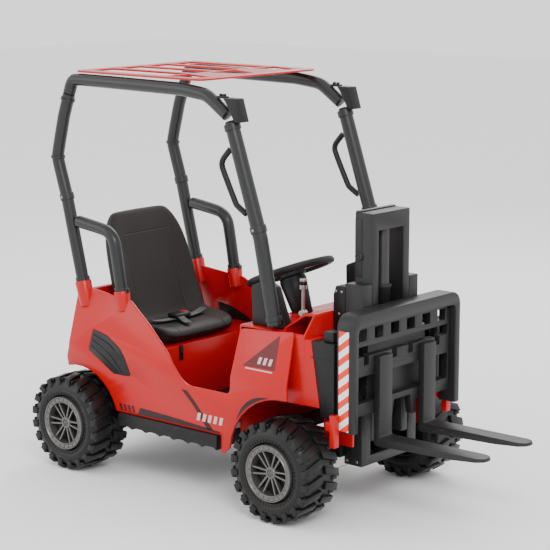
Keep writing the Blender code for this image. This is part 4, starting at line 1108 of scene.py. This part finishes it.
film_dark = finish_of("dark_film", (0.020, 0.004, 0.005, 1), 0.3, 0.4, 0.05, 0.08)
film_maroon = finish_of("maroon_film", (0.10, 0.004, 0.006, 1), 0.3, 0.4, 0.05, 0.08)
film_pale = finish_of("pale_film", (0.62, 0.40, 0.39, 1), 0.3, 0.4, 0.05, 0.08)


def film(shape, outline, side, lift=0.0002):
    """A thin flat sticker on the side panel, from its outline in x and z."""
    points = [shape.verts.new((x, side * skin_y(z, lift), z)) for x, z in outline]
    face = shape.faces.new(points)
    grown = bmesh.ops.extrude_face_region(shape, geom=[face])
    raised = [v for v in grown["geom"] if isinstance(v, bmesh.types.BMVert)]
    bmesh.ops.translate(shape, vec=(0, side * FILM, 0), verts=raised)
    bmesh.ops.recalc_face_normals(shape, faces=shape.faces)


def slanted(x, z, width, height, lean):
    """A leaning bar, from its lower rear corner."""
    return [(x, z), (x + width, z), (x + width + lean, z + height), (x + lean, z + height)]


for tag, side in (("L", 1), ("R", -1)):
    dark = bmesh.new()
    maroon = bmesh.new()
    pale = bmesh.new()
    film(maroon, WEDGE, side)
    film(dark, SLASH, side)
    film(dark, SILL_STRIPE, side)
    for number in range(4):
        film(dark, slanted(-0.340 + 0.0135 * number, 0.1625, 0.0070, 0.0150, -0.0050), side)
    for number in range(5):
        film(pale, slanted(-0.096 + 0.0170 * number, 0.1800, 0.0095, 0.0180, 0.0045), side, 0.0006)
    for number in range(3):
        film(pale, slanted(0.078 + 0.0155 * number, 0.3360, 0.0085, 0.0150, 0.0035), side, 0.0006)
    film(pale, slanted(0.046, 0.3215, 0.078, 0.0028, 0.0), side)
    under = []
    over = []
    for step in range(ARCH_STEPS + 1):
        angle = math.radians(147 - 44 * step / ARCH_STEPS)
        out = Vector((math.cos(angle), math.sin(angle)))
        reach = ARCH_EDGE + 0.0100 * math.sin(math.pi * step / ARCH_STEPS) + 0.0004
        under.append(ARCH_CENTER + ARCH_EDGE * out)
        over.append(ARCH_CENTER + reach * out)
    film(dark, under + over[::-1], side)
    make_piece("panel_film_dark_" + tag, dark, film_dark, "truck")
    make_piece("panel_film_wedge_" + tag, maroon, film_maroon, "truck")
    make_piece("panel_film_pale_" + tag, pale, film_pale, "truck")
box_low, box_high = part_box("seat_box")
latch = bmesh.new()
block(latch, (box_high.x + 0.0008, -0.078, 0.2800), (0.0036, 0.0125, 0.0360), 0.0012)
make_piece("seat_latch_tab", latch, black_plastic, "truck")


# ---- Studio floor, light and camera ----
# A pale floor without a pattern, a bright even sky, and three large soft lamps: a key from the
# front right of the object, a fill from its rear right and a rim light from behind its left.

FLOOR_HALF = 12
SKY_STRENGTH = 1.5
CAMERA_AT = (2.7410, -3.2734, 1.2961)
CAMERA_DOWN = 10.651
CAMERA_TURN = 40.585
CAMERA_LENS = 123.44

ground = bmesh.new()
bmesh.ops.create_grid(ground, x_segments=1, y_segments=1, size=FLOOR_HALF)
floor_mesh = bpy.data.meshes.new("studio_floor")
ground.to_mesh(floor_mesh)
ground.free()
floor = bpy.data.objects.new("studio_floor", floor_mesh)
floor_paint = bpy.data.materials.new("studio_floor_paint")
floor_paint.use_nodes = True
floor_shader = floor_paint.node_tree.nodes["Principled BSDF"]
floor_shader.inputs["Base Color"].default_value = (0.92, 0.92, 0.92, 1)
floor_shader.inputs["Roughness"].default_value = 0.9
floor_mesh.materials.append(floor_paint)
bpy.context.scene.collection.objects.link(floor)
sky = bpy.data.worlds.new("studio_sky")
sky.use_nodes = True
sky.node_tree.nodes["Background"].inputs["Color"].default_value = (1, 1, 1, 1)
sky.node_tree.nodes["Background"].inputs["Strength"].default_value = SKY_STRENGTH
bpy.context.scene.world = sky


def softbox(name, place, target, size, power):
    """A square area light aimed at a point."""
    lamp = bpy.data.lights.new(name, "AREA")
    lamp.size = size
    lamp.energy = power
    holder = bpy.data.objects.new(name, lamp)
    holder.location = place
    holder.rotation_euler = (Vector(target) - Vector(place)).to_track_quat("-Z", "Y").to_euler()
    bpy.context.scene.collection.objects.link(holder)


softbox("key", (2.6, -2.2, 3.0), (0, 0, 0.4), 1.4, 85)
softbox("fill", (-2.4, -2.8, 1.8), (0, 0, 0.4), 2.0, 26)
softbox("rim", (-1.2, 2.6, 2.6), (0, 0, 0.5), 1.6, 40)
camera_data = bpy.data.cameras.new("studio_camera")
camera_data.lens = CAMERA_LENS
camera_data.sensor_width = 36
camera = bpy.data.objects.new("studio_camera", camera_data)
camera.location = CAMERA_AT
camera.rotation_euler = (math.radians(90 - CAMERA_DOWN), 0, math.radians(CAMERA_TURN))
bpy.context.scene.collection.objects.link(camera)
bpy.context.scene.camera = camera
